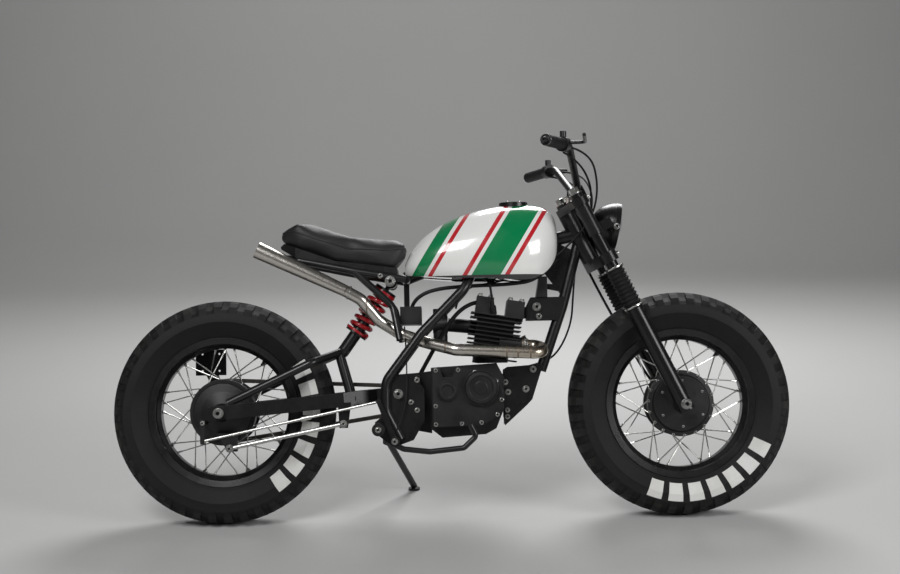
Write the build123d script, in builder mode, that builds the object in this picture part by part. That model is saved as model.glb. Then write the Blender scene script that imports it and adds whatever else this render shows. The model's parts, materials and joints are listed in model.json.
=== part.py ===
from build123d import *

import os
from math import cos, pi, radians, sin, tan

# A flat tracker motorcycle with fat block tyres, parked on its side stand.
# Every piece is drawn on the upright machine, in millimetres: x points
# forward, y to the rider's left and z up. The drawing is fixed to the front
# axle, so a longer wheelbase moves the rear wheel and a larger tyre lowers
# the ground. Each finished piece is then leaned onto the stand.

# Overall sizes
WHEELBASE = 1326.0
TYRE_RADIUS = 323.0
TYRE_HALF_WIDTH = 75.0
LEAN = 10.8
RAKE = 26.0
GRIP_HALF_SPAN = 396.0
GRIP_HEIGHT = 1046.0
RUN_GAP = 0.3

# Points on the centre plane that other pieces are drawn from
FRONT_AXLE = Vector(663, 0, 323)
REAR_AXLE = FRONT_AXLE - Vector(WHEELBASE, 0, 0)
SWING_PIVOT = Vector(-154, 0, 367)
OUTPUT_SHAFT = Vector(-62, 0, 352)

# Tyre outline, one flank: lateral place, radius, drop between two lugs
LUGS_PER_SIDE = 42
TYRE_FLANK = (
    (42, 205, 0),
    (47, 217, 0),
    (TYRE_HALF_WIDTH, 262, 0),
    (TYRE_HALF_WIDTH - 3, TYRE_RADIUS - 37, 0),
    (TYRE_HALF_WIDTH - 13, TYRE_RADIUS - 18, 9),
    (40, TYRE_RADIUS - 6, 10),
    (16, TYRE_RADIUS, 0),
)

# Rim, spokes and hubs
RIM_WELL_RADIUS = 185.0
SPOKE_RADIUS = 1.9
SPOKES_PER_FLANGE = 18
SPOKE_SWEEP = 26.0
SPOKE_CIRCLE = 97.7
SPOKE_FLANGE_Y = 44.0
HUB_DRUM_RADIUS = 95.0
AXLE_RADIUS = 8.0

# Fork and steering, measured on the fork's own axes
YOKE_OFFSET = 38.0
STANCHION_RADIUS = 17.5
SLIDER_RADIUS = 24.0
FORK_HALF_SPACING = TYRE_HALF_WIDTH + 11 + SLIDER_RADIUS
SLIDER_FOOT = -20.0
SLIDER_TOP = 306.0
GAITER_RADIUS = 28.0
GAITER_RIBS = 11
GAITER_TOP = 440.0
LOWER_YOKE_BOTTOM = 456.0
LOWER_YOKE_TOP = 486.0
SLEEVE_BOTTOM = 545.0
SLEEVE_RADIUS = 21.0
UPPER_YOKE_BOTTOM = 640.0
UPPER_YOKE_TOP = 662.0
STANCHION_TOP = 676.0
STEM_RADIUS = 13.0
HEAD_TUBE_BORE = 15.0
HEAD_TUBE_RADIUS = 24.0
YOKE_BOSS_RADIUS = 27.0
STEM_BOSS_RADIUS = 24.0

# Handlebar, lamp and controls
BAR_RADIUS = 11.0
GRIP_RADIUS = 16.5
MIRROR_BOSS_RADIUS = 9.0
MIRROR_BOSS_TOP = 36.0
MIRROR_THREAD_RADIUS = 5.0
MIRROR_THREAD_DEPTH = 14.0
LAMP_CENTRE = Vector(495, 0, 844)
LAMP_RADIUS = 68.0
LAMP_TILT = 10.0

# Boxes that hang on the frame
BOX_TOP = 618.0
REGULATOR_FRONT = 285.0

# Frame tubes
MAIN_TUBE_RADIUS = 13.5
DOWN_TUBE_RADIUS = 16.0
BACKBONE_RADIUS = 20.0
RAIL_RADIUS = 10.0
PLATE_Y = 104.0
PLATE_THICKNESS = 8.0

# Swingarm and shock
ARM_HEIGHT = 40.0
ARM_INNER_Y = 105.0
ARM_OUTER_Y = 131.0
PIVOT_HALF_WIDTH = 75.0
PIVOT_TUBE_RADIUS = 20.0
BRACE_RADIUS = 12.0
PIVOT_BOSS_RADIUS = 11.0
SHOCK_BOLT_RADIUS = 9.0
SHOCK_LOWER = REAR_AXLE + Vector(346, 0, 168)
SHOCK_UPPER = Vector(-172, 0, 691)
SPRING_COIL_RADIUS = 29.5
SPRING_WIRE_RADIUS = 6.5

# Chain and sprockets
CHAIN_Y = 92.0
CHAIN_HALF_WIDTH = 8.0
CHAIN_HALF_HEIGHT = 6.0
REAR_PITCH_RADIUS = 91.0
FRONT_PITCH_RADIUS = 30.5
SPROCKET_HALF_WIDTH = 3.0
SPROCKET_GAP = 0.8

# Engine
CYLINDER_TILT = 9.0
BARREL_RADIUS = 52.0
BARREL_HEIGHT = 34.0
BARREL_FINS = 2
HEAD_FINS = 9
HEAD_TOP = 195.0
FIN_PITCH = 12.5
FIN_THICKNESS = 4.0
FIN_WIDTH = 132.0
FIN_LENGTH = 150.0
MOUNT_INNER_Y = 16.5
GEAR_SHAFT = Vector(-40, 0, 268)
GEAR_LEVER_Y = 128.0

# Exhaust
PIPE_RADIUS = 17.5
MUFFLER_END_RADIUS = 25.0
MUFFLER_WALL = 3.0

# Side stand
STAND_PIVOT = Vector(-196, 126, 226)
STAND_FOOT_X = -122.0
STAND_FOOT_Y = 326.0
STAND_STOWED = Vector(-0.965, 0.20, -0.17)
STAND_LEG_RADIUS = 10.0
STAND_PIN_RADIUS = 7.0
STAND_EYE_RADIUS = 14.0
STAND_EYE_HALF = 10.5
STAND_PAD_RADIUS = 18.0

# The lean about the drawing's ground line, and the lift that puts the tyres
# on the ground again
lean_angle = radians(LEAN)
tyre_lift = max(
    place * sin(lean_angle) - (FRONT_AXLE.Z - radius) * cos(lean_angle)
    for place, radius, drop in TYRE_FLANK
)
side_shift = GRIP_HEIGHT * sin(lean_angle)
PARKED = Location((0, -side_shift, tyre_lift), (-LEAN, 0, 0))

# Planes of the fork and of the wheels
rake_angle = radians(RAKE)
FORK = Plane(
    origin=FRONT_AXLE,
    x_dir=(cos(rake_angle), 0, sin(rake_angle)),
    z_dir=(-sin(rake_angle), 0, cos(rake_angle)),
)
SIDES = (-1, 1)


def fork_point(forward, left, up):
    """Give the machine's own place of a point measured on the fork."""
    return FORK.from_local_coords(Vector(forward, left, up))


def ground_height(left):
    """Give the height of the parked machine's ground at a lateral place."""
    return left * tan(lean_angle) - tyre_lift / cos(lean_angle)


STAND_FOOT_GROUND = Vector(STAND_FOOT_X, STAND_FOOT_Y, ground_height(STAND_FOOT_Y))
GROUND_NORMAL = Vector(0, -sin(lean_angle), cos(lean_angle))
stand_down = (STAND_FOOT_GROUND - STAND_PIVOT).normalized()
stand_axis = stand_down.cross(STAND_STOWED).normalized()


def tube(points, bend, radius):
    """Sweep a round bar along straight runs joined by arcs of one radius."""
    with BuildLine(mode=Mode.PRIVATE) as route:
        if len(points) == 2:
            Line(*points)
        else:
            FilletPolyline(*points, radius=bend)
    wire = route.wires()[0]
    with BuildSketch(Plane(origin=wire @ 0, z_dir=wire % 0)) as section:
        Circle(radius)
    sweep(section.sketch, path=wire)


def side_plate(outline, inner, outer):
    """Extrude a side outline of x and z places between two lateral places."""
    with BuildSketch(Plane.XZ.offset(-outer)) as section:
        Polygon(*outline, align=None)
    extrude(section.sketch, amount=outer - inner)


def cross_bar(centre, radius, inner, outer):
    """Add a round bar that lies across the machine."""
    with BuildSketch(Plane.XZ.offset(-outer)) as section:
        with Locations((centre.X, centre.Z)):
            Circle(radius)
    extrude(section.sketch, amount=outer - inner)


def keep(builder, name):
    """Lean a finished piece onto the stand and write its file."""
    builder.part.label = name
    parked = builder.part.moved(PARKED)
    parked.label = name
    export_step(parked, f"parts/{name}.step")


os.makedirs("parts", exist_ok=True)


# Wheels: tyre, rim, spokes and hub of each
def lateral_plane(axle):
    """Give the plane through an axle whose own x is lateral and y is up."""
    return Plane(origin=axle, x_dir=(0, 1, 0), z_dir=(1, 0, 0))


def ring(axle, outline):
    """Turn an outline of lateral place and radius about an axle."""
    with BuildSketch(lateral_plane(axle)) as section:
        Polygon(*outline, align=None)
    revolve(section.sketch, axis=Axis(axle, (0, 1, 0)))


def tyre_half(side, lug):
    """List one flank's outline, on the lugs or in the gap between two."""
    return [(side * place, radius - (0 if lug else drop)) for place, radius, drop in TYRE_FLANK]


def tyre_point(axle, spot, turn):
    """Give the place of an outline's point at a turn of the wheel."""
    place, radius = spot
    return axle + Vector(radius * sin(turn), place, radius * cos(turn))


def tyre_solid(axle):
    """Close a tyre of flat facets whose lugs change sides at each step."""
    step = pi / LUGS_PER_SIDE
    facets = []
    for number in range(2 * LUGS_PER_SIDE):
        left_lug = number % 2 == 0
        turns = (number * step, (number + 1) * step)
        left = tyre_half(1, left_lug)
        right = tyre_half(-1, not left_lug)
        outline = left + right[::-1]
        for here, there in zip(outline, outline[1:] + outline[:1]):
            corners = [tyre_point(axle, here, turns[0]), tyre_point(axle, there, turns[0]),
                       tyre_point(axle, there, turns[1]), tyre_point(axle, here, turns[1])]
            facets.append(Face(Wire.make_polygon(corners)))
        for side in SIDES:
            tips = tyre_half(side, True)[3:]
            roots = tyre_half(side, False)[4:-1]
            corners = [tyre_point(axle, spot, turns[0]) for spot in tips + roots[::-1]]
            facets.append(Face(Wire.make_polygon(corners)))
    return Solid(Shell(facets))


# Rim outline, from its left flange over the tyre's seat and back below
RIM_OUTLINE = (
    (47, 216), (42, 204.5), (26, 203.5), (16, 192), (-16, 192), (-26, 203.5), (-42, 204.5),
    (-47, 216), (-50, 216), (-46, 198), (-28, 196), (-18, RIM_WELL_RADIUS),
    (18, RIM_WELL_RADIUS), (28, 196), (46, 198), (50, 216),
)

for wheel_name, axle in (("front", FRONT_AXLE), ("rear", REAR_AXLE)):
    with BuildPart() as tyre:
        add(tyre_solid(axle))
    keep(tyre, f"{wheel_name}_tyre")

    with BuildPart() as rim:
        ring(axle, RIM_OUTLINE)
    keep(rim, f"{wheel_name}_rim")

    with BuildPart() as spokes:
        for flange in SIDES:
            for number in range(SPOKES_PER_FLANGE):
                angle = radians(360 / SPOKES_PER_FLANGE * (number + 0.25 * flange))
                lay = 1 if number % 2 else -1
                sweep_angle = angle + radians(SPOKE_SWEEP) * lay
                start = axle + Vector(
                    SPOKE_CIRCLE * cos(angle),
                    flange * (SPOKE_FLANGE_Y + 3 * lay),
                    SPOKE_CIRCLE * sin(angle),
                )
                end = axle + Vector(
                    (RIM_WELL_RADIUS - 1) * cos(sweep_angle),
                    flange * (7 + 3 * lay),
                    (RIM_WELL_RADIUS - 1) * sin(sweep_angle),
                )
                run = end - start
                with BuildSketch(Plane(origin=start, z_dir=run)):
                    RegularPolygon(SPOKE_RADIUS, 6)
                extrude(amount=run.length)
    keep(spokes, f"{wheel_name}_spokes")

# Widths of what turns between the fork legs
HUB_END = FORK_HALF_SPACING - SLIDER_RADIUS - 2
FORK_OUTSIDE = FORK_HALF_SPACING + SLIDER_RADIUS

with BuildPart() as front_hub:
    ring(FRONT_AXLE, (
        (-HUB_END, 8.3), (-HUB_END, 20), (-60, 26), (-58, 80), (-50, 84), (-48, 96),
        (-38, 96), (-38, 90), (38, 90), (38, 96), (48, 96), (58, HUB_DRUM_RADIUS),
        (58, 84), (0, 84), (0, 8.3),
    ))
keep(front_hub, "front_hub")

SPROCKET_INNER_Y = CHAIN_Y - SPROCKET_HALF_WIDTH
SPROCKET_OUTER_Y = CHAIN_Y + SPROCKET_HALF_WIDTH
REAR_SPROCKET_RADIUS = REAR_PITCH_RADIUS - CHAIN_HALF_HEIGHT - SPROCKET_GAP
FRONT_SPROCKET_RADIUS = FRONT_PITCH_RADIUS - CHAIN_HALF_HEIGHT - SPROCKET_GAP
with BuildPart() as rear_hub:
    ring(REAR_AXLE, (
        (-58, 84), (-58, 95), (-48, 96), (-38, 96), (-38, 90), (38, 90), (38, 96),
        (48, 96), (58, 60), (SPROCKET_INNER_Y, 56), (SPROCKET_INNER_Y, REAR_SPROCKET_RADIUS),
        (SPROCKET_OUTER_Y, REAR_SPROCKET_RADIUS), (SPROCKET_OUTER_Y, 8.3), (0, 8.3), (0, 84),
    ))
keep(rear_hub, "rear_hub")

# Axles with their spacers, nuts and brake plates
with BuildPart() as front_axle:
    cross_bar(FRONT_AXLE, AXLE_RADIUS, -FORK_OUTSIDE - 4, FORK_OUTSIDE + 4)
    cross_bar(FRONT_AXLE, 13, -FORK_OUTSIDE - 12, -FORK_OUTSIDE - RUN_GAP)
    cross_bar(FRONT_AXLE, 13, FORK_OUTSIDE + RUN_GAP, FORK_OUTSIDE + 12)
keep(front_axle, "front_axle")

# The brake plates carry cam shafts and arms, drawn from their axles
with BuildPart() as front_brake_plate:
    ring(FRONT_AXLE, ((4, 8.3), (4, 40), (52, 83.4), (62, 83.4), (66, 60), (HUB_END, 22), (HUB_END, 8.3)))
    arm = ((-38, -23), (-23, -13), (-63, 77), (-73, 69))
    side_plate([(FRONT_AXLE.X + x, FRONT_AXLE.Z + z) for x, z in arm], 67, 73)
    cross_bar(FRONT_AXLE + Vector(-31, 0, -5), 9, 55, 74)
keep(front_brake_plate, "front_brake_plate")

with BuildPart() as rear_axle:
    cross_bar(REAR_AXLE, AXLE_RADIUS, -143, 143)
    cross_bar(REAR_AXLE, 14, -147, -ARM_OUTER_Y)
    cross_bar(REAR_AXLE, 14, ARM_OUTER_Y, 147)
    cross_bar(REAR_AXLE, 15, SPROCKET_OUTER_Y + RUN_GAP, ARM_INNER_Y)
keep(rear_axle, "rear_axle")

ROD_Y = 138.0
CAM_SHAFT = REAR_AXLE + Vector(-46, 0, -27)
TORQUE_BOLT = REAR_AXLE + Vector(30, 0, -100)
with BuildPart() as rear_brake_plate:
    ring(REAR_AXLE, (
        (-4, 8.3), (-4, 40), (-52, 83.4), (-62, 83.4), (-66, 60), (-80, 26),
        (-ARM_INNER_Y, 20), (-ARM_INNER_Y, 8.3),
    ))
    cross_bar(CAM_SHAFT, 6, -ROD_Y - 3, -60)
    arm = ((-8, 9), (7, 9), (5, -60), (-7, -60))
    side_plate([(CAM_SHAFT.X + x, CAM_SHAFT.Z + z) for x, z in arm], -ROD_Y - 3, -ROD_Y + 2)
    lug = ((-45, 40), (15, 40), (13, -12), (-13, -12))
    side_plate([(TORQUE_BOLT.X + x, TORQUE_BOLT.Z + z) for x, z in lug], -84, -60)
    cross_bar(TORQUE_BOLT, 7, -ARM_OUTER_Y, -84)
keep(rear_brake_plate, "rear_brake_plate")

# Fork
with BuildPart() as fork_sliders:
    for side in SIDES:
        with BuildSketch(FORK.offset(SLIDER_FOOT)):
            with Locations((0, side * FORK_HALF_SPACING)):
                Circle(SLIDER_RADIUS)
        extrude(amount=SLIDER_TOP - SLIDER_FOOT)
    with BuildSketch(Plane.XZ.offset(-150)):
        with Locations((FRONT_AXLE.X, FRONT_AXLE.Z)):
            Circle(AXLE_RADIUS)
    extrude(amount=300, mode=Mode.SUBTRACT)
keep(fork_sliders, "fork_sliders")

with BuildPart() as fork_tubes:
    for side in SIDES:
        with BuildSketch(FORK.offset(SLIDER_TOP)):
            with Locations((0, side * FORK_HALF_SPACING)):
                Circle(STANCHION_RADIUS)
        extrude(amount=STANCHION_TOP - SLIDER_TOP)
keep(fork_tubes, "fork_tubes")

rib_step = (GAITER_TOP - SLIDER_TOP) / GAITER_RIBS
with BuildPart() as fork_gaiters:
    for side in SIDES:
        outline = [(STANCHION_RADIUS, SLIDER_TOP), (GAITER_RADIUS - 5, SLIDER_TOP)]
        for rib in range(GAITER_RIBS):
            outline.append((GAITER_RADIUS, SLIDER_TOP + (rib + 0.5) * rib_step))
            outline.append((GAITER_RADIUS - 5, SLIDER_TOP + (rib + 1) * rib_step))
        outline.append((STANCHION_RADIUS, GAITER_TOP))
        leg = fork_point(0, side * FORK_HALF_SPACING, 0)
        with BuildSketch(Plane(origin=leg, x_dir=FORK.x_dir, z_dir=(0, -1, 0))) as section:
            Polygon(*outline, align=None)
        revolve(section.sketch, axis=Axis(leg, FORK.z_dir))
keep(fork_gaiters, "fork_gaiters")


def yoke_outline():
    """Draw a yoke: two leg bosses and a stem boss joined by a web."""
    with Locations((0, -FORK_HALF_SPACING), (0, FORK_HALF_SPACING)):
        Circle(YOKE_BOSS_RADIUS)
    with Locations((-YOKE_OFFSET, 0)):
        Circle(STEM_BOSS_RADIUS)
    make_hull()
    with Locations((0, -FORK_HALF_SPACING), (0, FORK_HALF_SPACING)):
        Circle(STANCHION_RADIUS, mode=Mode.SUBTRACT)


with BuildPart() as steering_stem:
    with BuildSketch(FORK.offset(LOWER_YOKE_BOTTOM)):
        yoke_outline()
    extrude(amount=LOWER_YOKE_TOP - LOWER_YOKE_BOTTOM)
    with BuildSketch(FORK.offset(LOWER_YOKE_TOP)):
        with Locations((-YOKE_OFFSET, 0)):
            Circle(STEM_RADIUS)
    extrude(amount=UPPER_YOKE_BOTTOM - LOWER_YOKE_TOP)
keep(steering_stem, "steering_stem")

with BuildPart() as upper_yoke:
    with BuildSketch(FORK.offset(UPPER_YOKE_BOTTOM)):
        yoke_outline()
    extrude(amount=UPPER_YOKE_TOP - UPPER_YOKE_BOTTOM)
    with BuildSketch(FORK.offset(UPPER_YOKE_TOP)):
        with Locations((-YOKE_OFFSET, 0)):
            Circle(16)
    extrude(amount=12)
    with BuildSketch(FORK.offset(UPPER_YOKE_TOP)):
        with Locations((19.5, -42), (19.5, 42)):
            Rectangle(34, 26)
    extrude(amount=33)
    with BuildSketch(Plane.XZ.offset(-80)):
        bar_centre = fork_point(19.5, 0, 695)
        with Locations((bar_centre.X, bar_centre.Z)):
            Circle(BAR_RADIUS)
    extrude(amount=160, mode=Mode.SUBTRACT)
keep(upper_yoke, "upper_yoke")

# Handlebar: half of it, from the clamp to the grip's end
BAR_POINTS = (
    Vector(bar_centre.X, 0, bar_centre.Z),
    Vector(bar_centre.X, -75, bar_centre.Z),
    Vector(338, -250, 1051),
    Vector(263, -GRIP_HALF_SPAN, GRIP_HEIGHT),
)
with BuildPart() as handlebar:
    tube(BAR_POINTS, 55, BAR_RADIUS)
    mirror(about=Plane.XZ)
keep(handlebar, "handlebar")

grip_run = BAR_POINTS[3] - BAR_POINTS[2]
grip_dir = grip_run.normalized()


def bar_sleeve(start, length, radius):
    """Add a sleeve on the right end of the bar, measured from its end inwards."""
    base = BAR_POINTS[3] - grip_dir * start
    with BuildSketch(Plane(origin=base, z_dir=-grip_dir)) as section:
        Circle(radius)
        Circle(BAR_RADIUS, mode=Mode.SUBTRACT)
    extrude(section.sketch, amount=length)


with BuildPart() as grips:
    bar_sleeve(0, 112, GRIP_RADIUS)
    mirror(about=Plane.XZ)
keep(grips, "grips")

with BuildPart() as bar_controls:
    bar_sleeve(112.3, 24, 21)
    perch = BAR_POINTS[3] - grip_dir * 124
    with BuildSketch(Plane.XY.offset(perch.Z + 16)) as boss:
        with Locations((perch.X, perch.Y)):
            Circle(MIRROR_BOSS_RADIUS)
    extrude(boss.sketch, amount=MIRROR_BOSS_TOP - 16)
    with BuildSketch(Plane.XY.offset(perch.Z + MIRROR_BOSS_TOP)) as thread:
        with Locations((perch.X, perch.Y)):
            Circle(MIRROR_THREAD_RADIUS)
    extrude(thread.sketch, amount=-MIRROR_THREAD_DEPTH, mode=Mode.SUBTRACT)
    lever_root = perch + Vector(18, 0, 4)
    tube((lever_root, lever_root + Vector(42, -8, 0), lever_root + Vector(25, -150, -2)), 14, 5)
    mirror(about=Plane.XZ)
keep(bar_controls, "bar_controls")

# The front brake's cable, from the left lever down behind the fork leg
CABLE = (
    Vector(perch.X + 14, -perch.Y - 4, perch.Z - 6),
    Vector(perch.X + 62, -perch.Y - 90, perch.Z - 22),
    fork_point(-34, FORK_HALF_SPACING + 36, 630),
    fork_point(-42, FORK_HALF_SPACING + 22, 420),
    fork_point(-38, FORK_HALF_SPACING + 4, 250),
    fork_point(-34, FORK_HALF_SPACING - 14, 120),
    FRONT_AXLE + Vector(-67, 78, 68),
)
with BuildPart() as front_cables:
    tube(CABLE, 25, 4)
    add(bar_controls.part, mode=Mode.SUBTRACT)
    add(handlebar.part, mode=Mode.SUBTRACT)
keep(front_cables, "front_cables")

# Headlight: bowl, lens and the ears that hold it
lamp_angle = radians(LAMP_TILT)
LAMP = Plane(
    origin=LAMP_CENTRE,
    x_dir=(0, 1, 0),
    z_dir=(cos(lamp_angle), 0, -sin(lamp_angle)),
)
LAMP_SECTION = Plane(origin=LAMP_CENTRE, x_dir=LAMP.z_dir, z_dir=(0, -1, 0))
LAMP_AXIS = Axis(LAMP_CENTRE, LAMP.z_dir)
with BuildPart() as headlight_shell:
    with BuildSketch(LAMP_SECTION):
        with BuildLine():
            Polyline((-76, 0), (-8, 0), (-8, LAMP_RADIUS - 4), (4, LAMP_RADIUS - 4),
                     (4, LAMP_RADIUS + 2), (-10, LAMP_RADIUS + 2), (-14, LAMP_RADIUS))
            ThreePointArc((-14, LAMP_RADIUS), (-54, 49), (-76, 18))
            Line((-76, 18), (-76, 0))
        make_face()
    revolve(axis=LAMP_AXIS)
keep(headlight_shell, "headlight_shell")

with BuildPart() as headlight_lens:
    with BuildSketch(LAMP_SECTION):
        with BuildLine():
            Polyline((14, 14), (14, 0), (-8, 0), (-8, LAMP_RADIUS - 4), (2, LAMP_RADIUS - 4))
            ThreePointArc((2, LAMP_RADIUS - 4), (10, 40), (14, 14))
        make_face()
    revolve(axis=LAMP_AXIS)
keep(headlight_lens, "headlight_lens")

with BuildPart() as headlight_ears:
    for side in SIDES:
        with BuildSketch(FORK.offset(SLEEVE_BOTTOM)):
            with Locations((0, side * FORK_HALF_SPACING)):
                Circle(SLEEVE_RADIUS)
                Circle(STANCHION_RADIUS, mode=Mode.SUBTRACT)
        extrude(amount=UPPER_YOKE_BOTTOM - SLEEVE_BOTTOM)
        with BuildSketch(FORK.offset(SLEEVE_BOTTOM)):
            with Locations((27, side * (FORK_HALF_SPACING - 21.5))):
                Rectangle(66, 5)
        extrude(amount=30)
        with BuildSketch(FORK.offset(SLEEVE_BOTTOM)):
            with Locations((48, side * (FORK_HALF_SPACING - 33))):
                Rectangle(18, 18)
        extrude(amount=18)
keep(headlight_ears, "headlight_ears")

# Main frame
head_mid = fork_point(-YOKE_OFFSET, 0, 575)
DOWN_TUBE = (fork_point(-YOKE_OFFSET, 0, 560), Vector(329, 0, 612), Vector(262, 0, 425))
BACKBONE = (head_mid, Vector(0, 0, 752), Vector(-130, 0, 702))
SIDE_TUBE = (
    Vector(95, 22, 765),
    Vector(42, 88, 668),
    Vector(-85, 112, 540),
    Vector(-190, 120, 402),
    Vector(-190, 120, 318),
    Vector(-150, 116, 238),
)
PIVOT_PLATE = ((-192, 420), (-110, 425), (-80, 380), (-80, 290), (-112, 235), (-150, 222),
               (-182, 226), (-222, 256), (-222, 288), (-192, 310))
HEAD_GUSSET = ((-62, -22), (12, -58), (-44, -185), (-142, -53))
PEG = Vector(-208, 0, 271)
PEDAL_PIVOT = Vector(-165, 0, 234)
PEDAL_INNER_Y = 142.0
PLATE_OUTER_Y = PLATE_Y + PLATE_THICKNESS
with BuildPart() as main_frame:
    with BuildSketch(FORK.offset(LOWER_YOKE_TOP + RUN_GAP)):
        with Locations((-YOKE_OFFSET, 0)):
            Circle(HEAD_TUBE_RADIUS)
    extrude(amount=UPPER_YOKE_BOTTOM - LOWER_YOKE_TOP - 2 * RUN_GAP)
    tube(DOWN_TUBE, 150, DOWN_TUBE_RADIUS)
    tube(BACKBONE, 120, BACKBONE_RADIUS)
    side_plate([(head_mid.X + x, head_mid.Z + z) for x, z in HEAD_GUSSET], -6, 6)
    for side in SIDES:
        tube([Vector(p.X, side * p.Y, p.Z) for p in SIDE_TUBE], 60, MAIN_TUBE_RADIUS)
        inner, outer = sorted((side * PLATE_Y, side * PLATE_OUTER_Y))
        side_plate(PIVOT_PLATE, inner, outer)
        for z_place in (285, 412):
            inner, outer = sorted((side * 45, side * (PLATE_Y + 1)))
            cross_bar(Vector(-100, 0, z_place), 9, inner, outer)
        inner, outer = sorted((side * (PIVOT_HALF_WIDTH + RUN_GAP), side * (PLATE_Y + 1)))
        cross_bar(SWING_PIVOT, PIVOT_BOSS_RADIUS, inner, outer)
        inner, outer = sorted((side * PLATE_Y, side * ROD_Y))
        cross_bar(PEG, 12, inner, outer)
    cross_bar(PEDAL_PIVOT, 9, -PEDAL_INNER_Y, -PLATE_Y)
    cross_bar(Vector(-127, 0, 696), 12, -85, 85)
    cross_bar(Vector(-158, 0, 252), 12, -PLATE_OUTER_Y, PLATE_OUTER_Y)
    side_plate(((-135, 696), (-119, 696), (-119, BOX_TOP), (-135, BOX_TOP)), -10, 10)
    side_plate(((REGULATOR_FRONT, 664), (330, 655), (330, 676), (REGULATOR_FRONT, 680)), -6, 6)
    pin_top = STAND_PIVOT + stand_axis * (STAND_EYE_HALF + RUN_GAP)
    tube((STAND_PIVOT - stand_axis * (STAND_EYE_HALF + 4), pin_top), 1, STAND_PIN_RADIUS)
    tube((pin_top, pin_top + stand_axis * 10), 1, 12)
    tube((pin_top + stand_axis * 8, Vector(-152, 108, 268)), 1, 6)
    with BuildSketch(FORK.offset(LOWER_YOKE_TOP)):
        with Locations((-YOKE_OFFSET, 0)):
            Circle(HEAD_TUBE_BORE)
    extrude(amount=UPPER_YOKE_BOTTOM - LOWER_YOKE_TOP, mode=Mode.SUBTRACT)
keep(main_frame, "main_frame")

with BuildPart() as electrics_box:
    side_plate(((-146, 566), (-84, 566), (-84, BOX_TOP), (-146, BOX_TOP)), -68, 68)
keep(electrics_box, "electrics_box")

with BuildPart() as regulator:
    side_plate(((252, 640.2), (REGULATOR_FRONT, 640.2), (REGULATOR_FRONT, 700), (262, 700)), -28, 28)
keep(regulator, "regulator")

# Seat frame: a rail and a strut on each side, and the bar of the shock's top
RAIL = (
    Vector(-127, -95, 696), Vector(-275, -95, 722), Vector(-440, -88, 757), Vector(-470, -40, 766),
    Vector(-470, 5, 766),
)
STRUT = (Vector(-275, -95, 722), Vector(-165, -104, 618), Vector(-146, -133.8, 520))
with BuildPart() as seat_frame:
    tube(RAIL, 22, RAIL_RADIUS)
    tube(STRUT, 40, RAIL_RADIUS)
    mirror(about=Plane.XZ)
    cross_bar(SHOCK_UPPER, SHOCK_BOLT_RADIUS, -96, 96)
keep(seat_frame, "seat_frame")

with BuildPart() as engine_mounts:
    for side in SIDES:
        inner, outer = sorted((side * 36, side * 42))
        side_plate(((152, 430), (165, 438), (257, 444), (263, 432), (233, 343), (217, 326),
                    (152, 268)), inner, outer)
        inner, outer = sorted((side * MOUNT_INNER_Y, side * (MOUNT_INNER_Y + 5)))
        side_plate(((340, 640), (236, 640), (222, 612), (222, 572), (318, 572)), inner, outer)
        inner, outer = sorted((side * 16.3, side * 36))
        cross_bar(Vector(258, 0, 432), 9, inner, outer)
keep(engine_mounts, "engine_mounts")

# Engine
with BuildPart() as crankcase:
    side_plate(((-60, 440), (-60, 262), (-30, 238), (96, 246), (126, 262), (150, 320), (150, 410),
                (130, 450)), -70, 70)
    side_plate(((150, 410), (150, 290), (172, 300), (176, 410)), -35, 35)
    side_plate(((-60, 430), (-118, 424), (-125, 300), (-118, 262), (-60, 250)), -45, 45)
    cross_bar(OUTPUT_SHAFT, 12, 45, SPROCKET_INNER_Y)
    cross_bar(OUTPUT_SHAFT, FRONT_SPROCKET_RADIUS, SPROCKET_INNER_Y, SPROCKET_OUTER_Y)
    cross_bar(GEAR_SHAFT, 7, 70, GEAR_LEVER_Y)
keep(crankcase, "crankcase")

with BuildPart() as gear_lever:
    side_plate(((-50, 258), (-32, 256), (74, 274), (74, 284), (-34, 280), (-50, 276)),
               GEAR_LEVER_Y, GEAR_LEVER_Y + 6)
    cross_bar(Vector(66, 0, 279), 9, GEAR_LEVER_Y + 6, GEAR_LEVER_Y + 42)
keep(gear_lever, "gear_lever")

with BuildPart() as clutch_cover:
    side_plate(((-56, 439), (-36, 442), (-26, 412), (0, 412), (12, 440), (60, 432), (129, 407),
                (150, 364), (146, 320), (120, 293), (84, 272), (-56, 270)), -116, -70)
    cross_bar(Vector(82, 0, 380), 50, -128, -116)
    cross_bar(Vector(-14, 0, 372), 29, -121, -116)
keep(clutch_cover, "clutch_cover")

with BuildPart() as generator_cover:
    cross_bar(Vector(82, 0, 352), 66, 70, 112.4)
    with BuildSketch(Plane.XZ.offset(-122)):
        with Locations((82, 352)):
            Circle(66)
        with Locations((OUTPUT_SHAFT.X, OUTPUT_SHAFT.Z)):
            Circle(48)
        make_hull()
    extrude(amount=9.7)
keep(generator_cover, "generator_cover")

tilt = radians(CYLINDER_TILT)
CYLINDER = Plane(
    origin=(112, 0, 445), x_dir=(cos(tilt), 0, -sin(tilt)), z_dir=(sin(tilt), 0, cos(tilt))
)


def cylinder_slab(bottom, height, centre, length, width):
    """Add a block across the cylinder's axis at a height on it."""
    with BuildSketch(CYLINDER.offset(bottom)) as section:
        with Locations((centre, 0)):
            Rectangle(length, width)
    extrude(section.sketch, amount=height)


with BuildPart() as cylinder:
    with BuildSketch(CYLINDER):
        Circle(BARREL_RADIUS)
    extrude(amount=BARREL_HEIGHT)
    for fin in range(BARREL_FINS):
        cylinder_slab(BARREL_HEIGHT - FIN_THICKNESS - fin * FIN_PITCH, FIN_THICKNESS, 0, FIN_LENGTH, FIN_WIDTH)
    split(bisect_by=Plane.XY.offset(450.2), keep=Keep.TOP)
keep(cylinder, "cylinder")

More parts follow.
